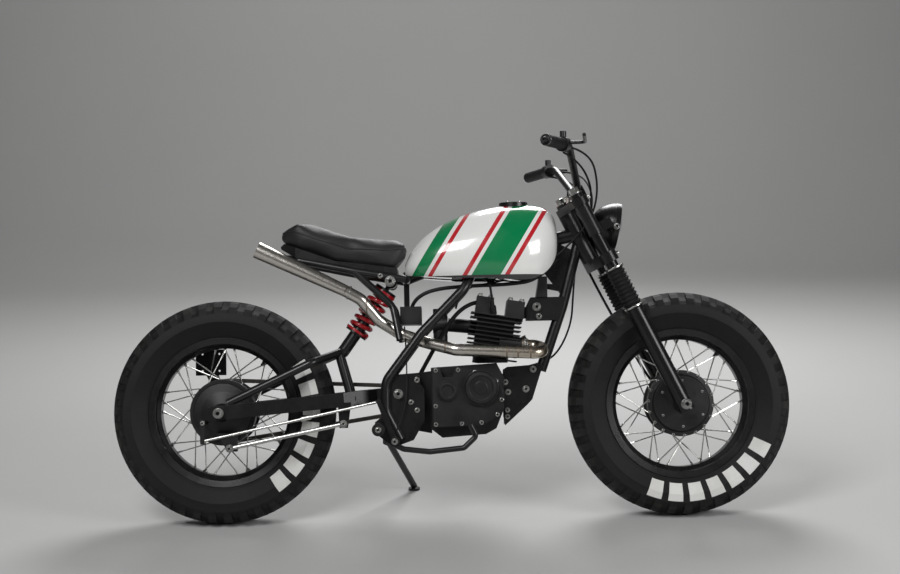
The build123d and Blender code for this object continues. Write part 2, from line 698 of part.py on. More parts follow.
# The head's fins, and its rocker towers: centre, length
TOWERS = ((-39, 50), (51, 52))
HEAD_CORE_HEIGHT = HEAD_FINS * FIN_PITCH
INTAKE = (Vector(80, 0, 556), Vector(40, 0, 560), Vector(-8, 0, 564.8))
PORT = Vector(205, -42, 500)
with BuildPart() as cylinder_head:
    cylinder_slab(BARREL_HEIGHT, HEAD_CORE_HEIGHT, 0, 110, 100)
    for fin in range(HEAD_FINS):
        bottom = BARREL_HEIGHT + (fin + 1) * FIN_PITCH - FIN_THICKNESS
        cylinder_slab(bottom, FIN_THICKNESS, 0, FIN_LENGTH, FIN_WIDTH)
    for centre, length in TOWERS:
        cylinder_slab(BARREL_HEIGHT + HEAD_CORE_HEIGHT - 10, HEAD_TOP - HEAD_CORE_HEIGHT - BARREL_HEIGHT + 10,
                      centre, length, 96)
    side_plate(((200, 576), (238, 582), (238, 616), (200, 608)), -MOUNT_INNER_Y, MOUNT_INNER_Y)
    tube(INTAKE[:2], 1, 20)
    tube((Vector(140, -42, 505), PORT), 1, 23)
keep(cylinder_head, "cylinder_head")

with BuildPart() as carburettor:
    tube(INTAKE[1:], 1, 20)
    tube((Vector(-8, 0, 566), Vector(-52, 0, 566)), 1, 26)
    tube((Vector(-30, 0, 612), Vector(-30, 0, 506)), 1, 21)
keep(carburettor, "carburettor")

with BuildPart() as breather_hose:
    tube((Vector(79, -30, 628), Vector(30, -42, 620), Vector(-48, -40, 500), Vector(-90, -36, 424)), 30, 6)
    add(cylinder_head.part, mode=Mode.SUBTRACT)
    add(crankcase.part, mode=Mode.SUBTRACT)
keep(breather_hose, "breather_hose")

# Exhaust: the pipe from the port round the right side, and the silencer
PIPE = (
    PORT,
    Vector(262, -42, 497),
    Vector(262, -112, 476),
    Vector(12, -110, 490),
    Vector(-72, -68, 513),
    Vector(-140, -66, 536),
    Vector(-206, -92, 578),
    Vector(-258, -110, 640),
    Vector(-300, -115, 664),
)
with BuildPart() as exhaust_pipe:
    tube(PIPE, 30, PIPE_RADIUS)
    tube((PORT, PORT + Vector(12, 0, -0.6)), 1, 27)
    add(cylinder_head.part, mode=Mode.SUBTRACT)
keep(exhaust_pipe, "exhaust_pipe")

MUFFLER_END = Vector(-551, -118, 786)
muffler_run = MUFFLER_END - PIPE[-1]
with BuildPart() as muffler:
    with BuildSketch(Plane(origin=PIPE[-1], z_dir=muffler_run)):
        Circle(PIPE_RADIUS)
    with BuildSketch(Plane(origin=MUFFLER_END, z_dir=muffler_run)):
        Circle(MUFFLER_END_RADIUS)
    loft()
    with BuildSketch(Plane(origin=MUFFLER_END, z_dir=muffler_run)):
        Circle(MUFFLER_END_RADIUS - MUFFLER_WALL)
    extrude(amount=-40, mode=Mode.SUBTRACT)
    add(exhaust_pipe.part, mode=Mode.SUBTRACT)
keep(muffler, "muffler")

# Swingarm
arm_run = REAR_AXLE - SWING_PIVOT
arm_dir = arm_run.normalized()
ARM = Plane(origin=SWING_PIVOT, x_dir=arm_dir, z_dir=(arm_dir.Z, 0, -arm_dir.X))
ARM_LENGTH = arm_run.length
ARM_OUTLINE = (
    (-14, 49), (70, 49), (165, ARM_INNER_Y), (ARM_LENGTH + 34, ARM_INNER_Y),
    (ARM_LENGTH + 34, ARM_OUTER_Y), (155, ARM_OUTER_Y), (62, PIVOT_HALF_WIDTH), (-14, PIVOT_HALF_WIDTH),
)
CROSS_TUBE = SWING_PIVOT + arm_dir * (ARM_LENGTH - TYRE_RADIUS - 50)
TORQUE_FRONT = REAR_AXLE + Vector(353, 0, -37)
with BuildPart() as swingarm:
    with BuildSketch(ARM.offset(-ARM_HEIGHT / 2)):
        Polygon(*ARM_OUTLINE, align=None)
    extrude(amount=ARM_HEIGHT)
    mirror(about=Plane.XZ)
    cross_bar(SWING_PIVOT, PIVOT_TUBE_RADIUS, -PIVOT_HALF_WIDTH, PIVOT_HALF_WIDTH)
    cross_bar(CROSS_TUBE, 17, -ARM_INNER_Y - 7, ARM_INNER_Y + 7)
    for side in SIDES:
        tube((REAR_AXLE + Vector(23, side * 118, 27), REAR_AXLE + Vector(263, side * 118, 138),
              REAR_AXLE + Vector(338, side * 36, 166)), 30, BRACE_RADIUS)
        tube((REAR_AXLE + Vector(335, side * 36, 165), CROSS_TUBE + Vector(-2, side * 52, 5)), 1, BRACE_RADIUS)
    cross_bar(SHOCK_LOWER, SHOCK_BOLT_RADIUS, -40, 40)
    lug = ((-16, 60), (22, 60), (12, -12), (-12, -12))
    side_plate([(TORQUE_FRONT.X + x, TORQUE_FRONT.Z + z) for x, z in lug], -ARM_OUTER_Y, -ARM_OUTER_Y + 10)
    with BuildSketch(Plane.XZ.offset(-150)):
        with Locations((REAR_AXLE.X, REAR_AXLE.Z)):
            Circle(AXLE_RADIUS)
    extrude(amount=300, mode=Mode.SUBTRACT)
keep(swingarm, "swingarm")

# Shock absorber
shock_run = SHOCK_UPPER - SHOCK_LOWER
SHOCK = Plane(origin=SHOCK_LOWER, z_dir=shock_run)
SHOCK_EYE_RADIUS = 17.0
SPRING_LOW = 70.0
SPRING_HIGH = shock_run.length - 32
SPRING_TURNS = 6
END_RING = 7.2

# The body's stages: start and end along the strut, radius
SHOCK_STAGES = (
    (0, SPRING_LOW + 90, 18),
    (SPRING_LOW - 6, SPRING_LOW, 34),
    (SPRING_LOW + 80, shock_run.length, 7),
    (SPRING_HIGH, SPRING_HIGH + 8, 34),
)
with BuildPart() as shock_body:
    for low, high, radius in SHOCK_STAGES:
        with BuildSketch(SHOCK.offset(low)) as stage:
            Circle(radius)
        extrude(stage.sketch, amount=high - low)
    for end in (SHOCK_LOWER, SHOCK_UPPER):
        cross_bar(end, SHOCK_EYE_RADIUS, -15, 15)
    for end in (SHOCK_LOWER, SHOCK_UPPER):
        with BuildSketch(Plane.XZ.offset(-40)) as bore:
            with Locations((end.X, end.Z)):
                Circle(SHOCK_BOLT_RADIUS)
        extrude(bore.sketch, amount=80, mode=Mode.SUBTRACT)
keep(shock_body, "shock_body")

with BuildPart() as shock_spring:
    for low in (SPRING_LOW, SPRING_HIGH - END_RING):
        with BuildSketch(SHOCK.offset(low)) as washer:
            Circle(SPRING_COIL_RADIUS + SPRING_WIRE_RADIUS)
            Circle(SPRING_COIL_RADIUS - SPRING_WIRE_RADIUS, mode=Mode.SUBTRACT)
        extrude(washer.sketch, amount=END_RING)
    rise = SPRING_HIGH - SPRING_LOW - 2 * END_RING
    coil = Edge.make_helix(rise / SPRING_TURNS, rise, SPRING_COIL_RADIUS)
    coil = coil.moved(SHOCK.offset(SPRING_LOW + END_RING).location)
    with BuildSketch(Plane(origin=coil @ 0, z_dir=coil % 0)) as wire_section:
        RegularPolygon(SPRING_WIRE_RADIUS, 8)
    sweep(wire_section.sketch, path=coil, is_frenet=True)
keep(shock_spring, "shock_spring")

# Chain loop round both sprockets
def chain_loop(offset):
    """Draw the hull of both sprocket circles, grown by an offset."""
    with Locations((REAR_AXLE.X, REAR_AXLE.Z)):
        Circle(REAR_PITCH_RADIUS + offset)
    with Locations((OUTPUT_SHAFT.X, OUTPUT_SHAFT.Z)):
        Circle(FRONT_PITCH_RADIUS + offset)
    make_hull()


with BuildPart() as chain:
    with BuildSketch(Plane.XZ.offset(-CHAIN_Y - CHAIN_HALF_WIDTH)):
        chain_loop(CHAIN_HALF_HEIGHT)
    extrude(amount=2 * CHAIN_HALF_WIDTH)
    with BuildSketch(Plane.XZ.offset(-CHAIN_Y - CHAIN_HALF_WIDTH)):
        chain_loop(-CHAIN_HALF_HEIGHT)
    extrude(amount=2 * CHAIN_HALF_WIDTH, mode=Mode.SUBTRACT)
keep(chain, "chain")

# Brake rods: the pull rod from the pedal, and the torque rod to the plate
ROD_REAR = CAM_SHAFT + Vector(5.5, -ROD_Y, -50)
ROD_FRONT = Vector(-216.5, -PEDAL_INNER_Y - 3, 345)
with BuildPart() as brake_rods:
    tube((ROD_REAR, ROD_FRONT), 1, 4)
    tube((ROD_REAR + (ROD_FRONT - ROD_REAR) * 0.56, ROD_REAR + (ROD_FRONT - ROD_REAR) * 0.62), 1, 7)
    tube((TORQUE_BOLT - Vector(0, ROD_Y, 0), TORQUE_FRONT - Vector(0, ROD_Y, 0)), 1, 6)
    for end in (TORQUE_BOLT, TORQUE_FRONT):
        cross_bar(end, 11, -ROD_Y - 7, -ARM_OUTER_Y)
keep(brake_rods, "brake_rods")

# Pegs, pedal and the plate holder on the left
with BuildPart() as foot_pegs:
    for side in SIDES:
        inner, outer = sorted((side * ROD_Y, side * 235))
        cross_bar(PEG, 18, inner, outer)
keep(foot_pegs, "foot_pegs")

PEDAL = (
    Vector(-165, -150, 224), Vector(-140, -150, 212), Vector(-66, -150, 203), Vector(30, -150, 212),
    Vector(66, -150, 245), Vector(50, -150, 276),
)
with BuildPart() as brake_pedal:
    cross_bar(PEDAL_PIVOT, 14, -PEDAL_INNER_Y - 16, -PEDAL_INNER_Y)
    tube(PEDAL, 14, 8)
    side_plate(((-174, 236), (-158, 242), (-206, 354), (-217, 350)), -PEDAL_INNER_Y - 6, -PEDAL_INNER_Y)
keep(brake_pedal, "brake_pedal")

PLATE_CENTRE = REAR_AXLE + Vector(-62, 0, 146)
HOLDER_HOLES = 4
HOLDER_CIRCLE_RADIUS = 36.0
HOLDER_HOLE_RADIUS = 3.2
with BuildPart() as plate_bracket:
    arm = ((-27, 10), (-6, 20.5), (-40, 110), (-78, 110))
    side_plate([(REAR_AXLE.X + x, REAR_AXLE.Z + z) for x, z in arm], ARM_OUTER_Y, ARM_OUTER_Y + 4)
    with BuildSketch(Plane.XZ.offset(-ARM_OUTER_Y - 4)):
        with Locations((PLATE_CENTRE.X, PLATE_CENTRE.Z)):
            Rectangle(92, 78)
            with PolarLocations(HOLDER_CIRCLE_RADIUS, HOLDER_HOLES, start_angle=45):
                Circle(HOLDER_HOLE_RADIUS, mode=Mode.SUBTRACT)
    extrude(amount=4)
keep(plate_bracket, "plate_bracket")

# Tank, cap and seat
TANK_SECTIONS = (
    # x, bottom, top, half width
    (-130, 712, 742, 40),
    (-100, 706, 796, 78),
    (-40, 701, 848, 106),
    (60, 696, 892, 124),
    (160, 691, 912, 126),
    (240, 692, 913, 112),
    (290, 722, 898, 82),
    (316, 786, 836, 40),
)
with BuildPart() as fuel_tank:
    for x_place, bottom, top, half in TANK_SECTIONS:
        height = top - bottom
        with BuildSketch(Plane.YZ.offset(x_place)):
            with BuildLine():
                Line((-0.82 * half, bottom), (0.82 * half, bottom))
                ThreePointArc((0.82 * half, bottom), (half, bottom + 0.4 * height),
                              (0.62 * half, bottom + 0.86 * height))
                ThreePointArc((0.62 * half, bottom + 0.86 * height), (0, top),
                              (-0.62 * half, bottom + 0.86 * height))
                ThreePointArc((-0.62 * half, bottom + 0.86 * height), (-half, bottom + 0.4 * height),
                              (-0.82 * half, bottom))
            make_face()
    loft()
    with BuildSketch(Plane.XZ):
        Polygon((-140, 670), (-140, 726), (0, 778), (340, 836), (340, 670), align=None)
    extrude(amount=33, both=True, mode=Mode.SUBTRACT)
    with BuildSketch(Plane.YZ.offset(6)):
        Polygon((-98, 680), (-98, 700), (-42, 789), (42, 789), (98, 700), (98, 680), align=None)
    extrude(amount=128, mode=Mode.SUBTRACT)
keep(fuel_tank, "fuel_tank")

with BuildPart() as fuel_cap:
    with BuildSketch(Plane.XY.offset(905)):
        with Locations((192, 0)):
            Circle(42)
    extrude(amount=15)
    add(fuel_tank.part, mode=Mode.SUBTRACT)
keep(fuel_cap, "fuel_cap")

# Outlines of the seat's cushion from the side, and from above: x, half width
SEAT_BASE = ((-152, 730), (-329, 752), (-477, 806))
SEAT_SIDE = SEAT_BASE + ((-494, 822), (-488, 845), (-440, 869), (-380, 846), (-291, 814), (-200, 806),
                         (-118, 806))
SEAT_PLAN = ((-112, 72), (-190, 92), (-330, 102), (-440, 98), (-500, 66))
with BuildPart() as seat:
    side_plate(SEAT_SIDE, -102, 102)
    with BuildSketch(Plane.XY.offset(700)):
        Polygon(*SEAT_PLAN, *[(x, -half) for x, half in reversed(SEAT_PLAN)], align=None)
    extrude(amount=200, mode=Mode.INTERSECT)
keep(seat, "seat")

with BuildPart() as seat_pan:
    side_plate(((-150, 712), (-275, 728), (-440, 763), (-486, 790), (-488, 797)) + SEAT_BASE[::-1], -96, 96)
    with BuildSketch(Plane.XY.offset(700)):
        Polygon(*SEAT_PLAN, *[(x, -half) for x, half in reversed(SEAT_PLAN)], align=None)
    extrude(amount=200, mode=Mode.INTERSECT)
    add(seat_frame.part, mode=Mode.SUBTRACT)
    add(fuel_tank.part, mode=Mode.SUBTRACT)
keep(seat_pan, "seat_pan")

# Side stand: an eye turning on the frame's pin, the leg and its foot pad
with BuildPart() as side_stand:
    with BuildSketch(Plane(origin=STAND_PIVOT - stand_axis * STAND_EYE_HALF, z_dir=stand_axis)):
        Circle(STAND_EYE_RADIUS)
    extrude(amount=2 * STAND_EYE_HALF)
    tube((STAND_PIVOT, STAND_FOOT_GROUND + GROUND_NORMAL * 12), 1, STAND_LEG_RADIUS)
    with BuildSketch(Plane(origin=STAND_FOOT_GROUND, z_dir=GROUND_NORMAL)):
        Circle(STAND_PAD_RADIUS)
    extrude(amount=6)
    with BuildSketch(Plane(origin=STAND_PIVOT - stand_axis * 40, z_dir=stand_axis)):
        Circle(STAND_PIN_RADIUS + RUN_GAP)
    extrude(amount=80, mode=Mode.SUBTRACT)
keep(side_stand, "side_stand")
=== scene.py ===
"""Looks, light and camera of the flat tracker motorcycle.

Places on the machine are in millimetres on the upright machine, as in the
part's source: x forward, y to the rider's left, z up. The function parked
leans them onto the side stand and gives metres in the shared frame. Sizes
inside a material, and those of the studio, are in metres.
"""

from __future__ import annotations

import json
import logging
import math
from dataclasses import dataclass
from enum import Enum
from typing import Callable, Iterable, Sequence

import bpy
from mathutils import Matrix, Vector

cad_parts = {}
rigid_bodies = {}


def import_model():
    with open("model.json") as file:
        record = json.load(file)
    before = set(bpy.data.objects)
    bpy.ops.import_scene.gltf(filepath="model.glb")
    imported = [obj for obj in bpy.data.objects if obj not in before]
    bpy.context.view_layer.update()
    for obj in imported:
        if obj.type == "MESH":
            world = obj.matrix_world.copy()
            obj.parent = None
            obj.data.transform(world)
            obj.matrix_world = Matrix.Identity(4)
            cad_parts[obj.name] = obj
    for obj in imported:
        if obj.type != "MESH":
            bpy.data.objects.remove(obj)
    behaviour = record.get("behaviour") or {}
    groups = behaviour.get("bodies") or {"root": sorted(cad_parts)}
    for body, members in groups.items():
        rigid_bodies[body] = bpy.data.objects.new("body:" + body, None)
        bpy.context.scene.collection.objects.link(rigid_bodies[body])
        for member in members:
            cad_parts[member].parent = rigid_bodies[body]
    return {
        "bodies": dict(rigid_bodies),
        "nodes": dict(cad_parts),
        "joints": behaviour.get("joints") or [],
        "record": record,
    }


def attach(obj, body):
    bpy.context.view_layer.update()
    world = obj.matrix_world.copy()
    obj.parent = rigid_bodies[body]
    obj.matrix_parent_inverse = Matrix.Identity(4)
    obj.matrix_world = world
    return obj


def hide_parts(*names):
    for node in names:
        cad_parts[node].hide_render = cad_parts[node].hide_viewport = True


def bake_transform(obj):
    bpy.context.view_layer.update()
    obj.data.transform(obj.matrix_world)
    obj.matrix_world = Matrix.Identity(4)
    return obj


log = logging.getLogger("flat_tracker")

Place = tuple[float, float, float]
Colour = tuple[float, float, float]
# A fastener's foot and direction on the upright machine, and its width in millimetres
Seating = tuple[Sequence[float], Sequence[float], float]

MM = 0.001
LEAN = math.radians(10.8)
RAKE = math.radians(26.0)
WHEEL_REACH = 663.0
AXLE_HEIGHT = 323.0
GRIP_HEIGHT = 1046.0
GRIP_HALF_SPAN = 396.0
LAMP_CENTRE: Place = (495.0, 0.0, 844.0)
TYRE_LIFT = 0.002998
SIDE_SHIFT = GRIP_HEIGHT * MM * math.sin(LEAN)
PARKED = Matrix.Translation((0.0, -SIDE_SHIFT, TYRE_LIFT)) @ Matrix.Rotation(-LEAN, 4, "X")
RIGHT: Place = (0.0, -1.0, 0.0)
LEFT: Place = (0.0, 1.0, 0.0)
UP: Place = (0.0, 0.0, 1.0)
FORWARD: Place = (1.0, 0.0, 0.0)
UP_THE_FORK: Place = (-math.sin(RAKE), 0.0, math.cos(RAKE))
AHEAD_OF_THE_FORK: Place = (math.cos(RAKE), 0.0, math.sin(RAKE))
SIDES = (-1, 1)
# Edges that bend by more than this look sharp
CREASE = math.radians(40.0)


class Body(Enum):
    """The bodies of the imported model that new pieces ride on."""

    FRAME = "frame"
    STEERING = "steering"
    FRONT_WHEEL = "front_wheel"
    REAR_WHEEL = "rear_wheel"


class Head(Enum):
    """The heads that a fastener can have, by their number of sides."""

    HEX = 6
    DOME = 16


def parked(place: Sequence[float]) -> Vector:
    """Lean a place of the upright machine, in millimetres, onto the stand, in metres."""
    return PARKED @ (Vector(place) * MM)


def parked_way(way: Sequence[float]) -> Vector:
    """Lean a direction as the machine leans."""
    return PARKED.to_3x3() @ Vector(way)


def mirrored(place: Sequence[float], side: int) -> Place:
    """Keep a place or a direction for side 1, and give its mirror image for side -1."""
    return (place[0], side * place[1], place[2])


def outward(place: Sequence[float]) -> Place:
    """Give the sideways direction that leads away from the machine's middle."""
    return RIGHT if place[1] < 0 else LEFT


def on_fork(forward: float, left: float, up: float) -> Place:
    """Turn a point measured on the fork into the machine's own place.

    Args:
        forward: How far ahead of the fork's line through the axle it is.
        left: How far to the rider's left.
        up: How far up the fork from the axle.

    Returns:
        The place on the upright machine.
    """
    return (
        WHEEL_REACH + forward * math.cos(RAKE) - up * math.sin(RAKE),
        left,
        AXLE_HEIGHT + forward * math.sin(RAKE) + up * math.cos(RAKE),
    )


def deselect() -> None:
    """Leave edit mode and select nothing."""
    if bpy.context.mode != "OBJECT":
        bpy.ops.object.mode_set(mode="OBJECT")
    bpy.ops.object.select_all(action="DESELECT")


def activate(piece: bpy.types.Object) -> None:
    """Make a piece the only selected and the active one.

    Args:
        piece: The piece.
    """
    deselect()
    piece.select_set(True)
    bpy.context.view_layer.objects.active = piece


def select_faces(piece: bpy.types.Object, test: Callable[[bpy.types.MeshPolygon], bool]) -> None:
    """Enter edit mode on a piece with the faces that pass a test selected.

    Args:
        piece: The mesh to edit.
        test: Says for each face whether it is selected.
    """
    activate(piece)
    bpy.context.tool_settings.mesh_select_mode = (False, False, True)
    mesh = piece.data
    mesh.vertices.foreach_set("select", [False] * len(mesh.vertices))
    mesh.edges.foreach_set("select", [False] * len(mesh.edges))
    for face in mesh.polygons:
        face.select = test(face)
    bpy.ops.object.mode_set(mode="EDIT")


def is_top(face: bpy.types.MeshPolygon) -> bool:
    """Say whether a face looks up."""
    return face.normal.z > 0.9


def settle(piece: bpy.types.Object) -> None:
    """Put a piece's place into its mesh, with its object at the origin."""
    activate(piece)
    bpy.ops.object.transform_apply(location=True, rotation=True, scale=True)


def apply_modifiers(piece: bpy.types.Object) -> None:
    """Apply every modifier of a piece in order.

    Args:
        piece: The piece, which is left active.
    """
    activate(piece)
    for modifier in list(piece.modifiers):
        bpy.ops.object.modifier_apply(modifier=modifier.name)


def to_mesh(curve: bpy.types.Object) -> bpy.types.Object:
    """Turn a curve into a smooth mesh.

    Args:
        curve: The curve with its thickness.

    Returns:
        The mesh piece of the same name.
    """
    activate(curve)
    bpy.ops.object.convert(target="MESH")
    bpy.ops.object.shade_smooth()
    return bpy.context.view_layer.objects.active


def join(pieces: Sequence[bpy.types.Object], name: str) -> bpy.types.Object:
    """Join pieces into the first of them.

    Args:
        pieces: The pieces.
        name: The joined piece's name.

    Returns:
        The joined piece.
    """
    deselect()
    for piece in pieces:
        piece.select_set(True)
    bpy.context.view_layer.objects.active = pieces[0]
    if len(pieces) > 1:
        bpy.ops.object.join()
    pieces[0].name = name
    return pieces[0]


def facing(place: Vector, direction: Vector, size: float = 1.0) -> Matrix:
    """Give the matrix that scales a shape and puts it at a place with its z along a direction."""
    turn = direction.to_track_quat("Z", "Y").to_matrix().to_4x4()
    return Matrix.Translation(place) @ turn @ Matrix.Scale(size, 4)


def array_of(template: bpy.types.Object, matrices: Iterable[Matrix], name: str) -> bpy.types.Object:
    """Copy a template to every matrix and join the copies.

    Args:
        template: The shape, modelled once at the origin.
        matrices: Where each copy goes.
        name: The joined piece's name.

    Returns:
        The joined piece; the template is removed.
    """
    copies = []
    for matrix in matrices:
        copy = template.copy()
        copy.data = template.data.copy()
        copy.data.transform(matrix)
        bpy.context.collection.objects.link(copy)
        copies.append(copy)
    bpy.data.objects.remove(template, do_unlink=True)
    return join(copies, name)


class Term:
    """A shader socket that can be used in Python expressions."""

    def __init__(self, board: "Board", socket: bpy.types.NodeSocket) -> None:
        """Wrap one output socket of a board."""
        self.board = board
        self.socket = socket

    def __add__(self, other: "Term | float") -> "Term":
        """Add a number or a term."""
        return self.board.maths("ADD", self, other)

    __radd__ = __add__

    def __sub__(self, other: "Term | float") -> "Term":
        """Take a number or a term away."""
        return self.board.maths("SUBTRACT", self, other)

    def __rsub__(self, other: float) -> "Term":
        """Take the term away from a number."""
        return self.board.maths("SUBTRACT", other, self)

    def __mul__(self, other: "Term | float") -> "Term":
        """Multiply by a number or a term."""
        return self.board.maths("MULTIPLY", self, other)

    __rmul__ = __mul__

    def above(self, edge: float) -> "Term":
        """Give 1 where the term is above an edge and 0 elsewhere."""
        return self.board.maths("GREATER_THAN", self, edge)

    def below(self, edge: float) -> "Term":
        """Give 1 where the term is below an edge and 0 elsewhere."""
        return self.board.maths("LESS_THAN", self, edge)

    def near(self, place: float, reach: float) -> "Term":
        """Give 1 where the term is within reach of a place and 0 elsewhere."""
        return (self - place).size().below(reach)

    def wrapped(self) -> "Term":
        """Give what is left of the term after its whole part."""
        return self.board.maths("FRACT", self)

    def wave(self) -> "Term":
        """Give the distance from the middle of each whole step, from 0 to a half."""
        return (self.wrapped() - 0.5).size()

    def size(self) -> "Term":
        """Give the term without its sign."""
        return self.board.maths("ABSOLUTE", self)

    def clear(self) -> "Term":
        """Keep the term between 0 and 1."""
        node = self.board.node("ShaderNodeClamp", {}, {"Value": self})
        return Term(self.board, node.outputs[0])


@dataclass(frozen=True)
class Relief:
    """How deep a surface's bump is and how round its edges look, in metres."""

    depth: float
    edge: float = 0.0


class Board:
    """The node tree of one material, built by its methods."""

    def __init__(self, name: str) -> None:
        """Start a material with an empty tree.

        Args:
            name: The material's name.
        """
        self.material = bpy.data.materials.new(name)
        self.material.use_nodes = True
        self.tree = self.material.node_tree
        self.tree.nodes.clear()

    def node(self, kind: str, settings: dict, values: dict) -> bpy.types.Node:
        """Add a node.

        Args:
            kind: The node's type.
            settings: Its settings, which are set first.
            values: What its input sockets hold or are linked to.

        Returns:
            The new node.
        """
        node = self.tree.nodes.new(kind)
        for name, value in settings.items():
            setattr(node, name, value)
        for name, value in values.items():
            socket = node.inputs[name]
            if isinstance(value, Term):
                self.tree.links.new(value.socket, socket)
            else:
                socket.default_value = value
        return node

    def maths(self, operation: str, first: Term | float, second: Term | float = 0.0) -> Term:
        """Add a Math node and give its result."""
        node = self.node("ShaderNodeMath", {"operation": operation}, {0: first, 1: second})
        return Term(self, node.outputs[0])

    def mapped(self, **values: Sequence[float]) -> Term:
        """Give the place on the surface in metres, as a Mapping node changes it.

        Args:
            values: What the Mapping node's sockets hold.

        Returns:
            The place as a vector.
        """
        source = self.node("ShaderNodeTexCoord", {}, {}).outputs["Object"]
        node = self.node("ShaderNodeMapping", {}, {"Vector": Term(self, source), **values})
        return Term(self, node.outputs[0])

    def place(self, scale: Place = (1.0, 1.0, 1.0)) -> Term:
        """Give the place in the shared frame, with each axis multiplied."""
        return self.mapped(Scale=scale)

    def upright(self, centre: Place = (0.0, 0.0, 0.0)) -> Term:
        """Give the place on the upright machine, from a centre that is given in millimetres."""
        shift = PARKED.inverted().translation - Vector(centre) * MM
        return self.mapped(Rotation=(LEAN, 0.0, 0.0), Location=tuple(shift))

    def axes(self, vector: Term) -> tuple[Term, Term, Term]:
        """Split a vector into its x, y and z."""
        node = self.node("ShaderNodeSeparateXYZ", {}, {"Vector": vector})
        return tuple(Term(self, socket) for socket in node.outputs)

    def noise(self, vector: Term, scale: float, detail: float = 3.0, rough: float = 0.5) -> Term:
        """Give a cloudy value between 0 and 1."""
        values = {"Vector": vector, "Scale": scale, "Detail": detail, "Roughness": rough}
        return Term(self, self.node("ShaderNodeTexNoise", {}, values).outputs[0])

    def cells(self, vector: Term, scale: float) -> Term:
        """Give the distance to the nearest of scattered points."""
        node = self.node("ShaderNodeTexVoronoi", {}, {"Vector": vector, "Scale": scale})
        return Term(self, node.outputs["Distance"])

    def lines(self, along: Term, places: Sequence[float], reach: float) -> Term:
        """Give 1 within reach of each place along a term and 0 elsewhere."""
        first, *others = [along.near(place, reach) for place in places]
        return sum(others, first)

    def blend(self, share: Term, base: Term | Colour, over: Term | Colour) -> Term:
        """Mix two colours.

        Args:
            share: How much of the second colour shows, between 0 and 1.
            base: The first colour.
            over: The second colour.

        Returns:
            The mixed colour.
        """
        node = self.node("ShaderNodeMix", {"data_type": "RGBA"}, {0: share})
        for index, colour in ((6, base), (7, over)):
            if isinstance(colour, Term):
                self.tree.links.new(colour.socket, node.inputs[index])
            else:
                node.inputs[index].default_value = (*colour, 1.0)
        return Term(self, node.outputs[2])

    def finish(self, colour: Term, roughness: Term, height: Term, relief: Relief, **fixed: float) -> None:
        """Close the tree with its shader.

        Args:
            colour: The base colour.
            roughness: The roughness.
            height: What the bump is made from.
            relief: How deep the bump is and how round the edges look.
            fixed: Values of the shader's other sockets, with _ for a space.
        """
        values: dict = {"Base Color": colour, "Roughness": roughness}
        raised: dict = {"Height": height, "Distance": relief.depth, "Strength": 1.0}
        if relief.edge > 0:
            rounded = self.node("ShaderNodeBevel", {"samples": 4}, {"Radius": relief.edge})
            raised["Normal"] = Term(self, rounded.outputs[0])
        values["Normal"] = Term(self, self.node("ShaderNodeBump", {}, raised).outputs[0])
        values.update({name.replace("_", " "): value for name, value in fixed.items()})
        shader = self.node("ShaderNodeBsdfPrincipled", {}, values)
        output = self.node("ShaderNodeOutputMaterial", {}, {})
        self.tree.links.new(shader.outputs[0], output.inputs[0])


@dataclass(frozen=True)
class Finish:
    """A surface with grain, slow changes of colour and a little dust."""

    name: str
    colour: Colour
    worn: Colour
    wear: float = 0.35
    roughness: float = 0.45
    spread: float = 0.15
    grain: float = 900.0
    depth: float = 0.00012
    stretch: Place = (1.0, 1.0, 1.0)
    metal: float = 0.0
    coat: float = 0.0
    glint: float = 0.5
    edge: float = 0.0008
    cloud: float = 14.0
    patchiness: float = 4.0

    def material(self) -> bpy.types.Material:
        """Build the material of this finish.

        Returns:
            The material.
        """
        board = Board(self.name)
        grain = board.noise(board.place(self.stretch), self.grain)
        cloud = board.noise(board.place(), self.cloud, 4.0, 0.6)
        dust = ((cloud - 0.5) * self.patchiness + 0.5).clear() * self.wear
        colour = board.blend(dust, self.colour, self.worn)
        roughness = self.roughness + (grain - 0.5) * self.spread + (cloud - 0.5) * self.spread
        board.finish(
            colour, roughness.clear(), grain, Relief(self.depth, self.edge),
            Metallic=self.metal, Coat_Weight=self.coat, Specular_IOR_Level=self.glint,
        )
        return board.material


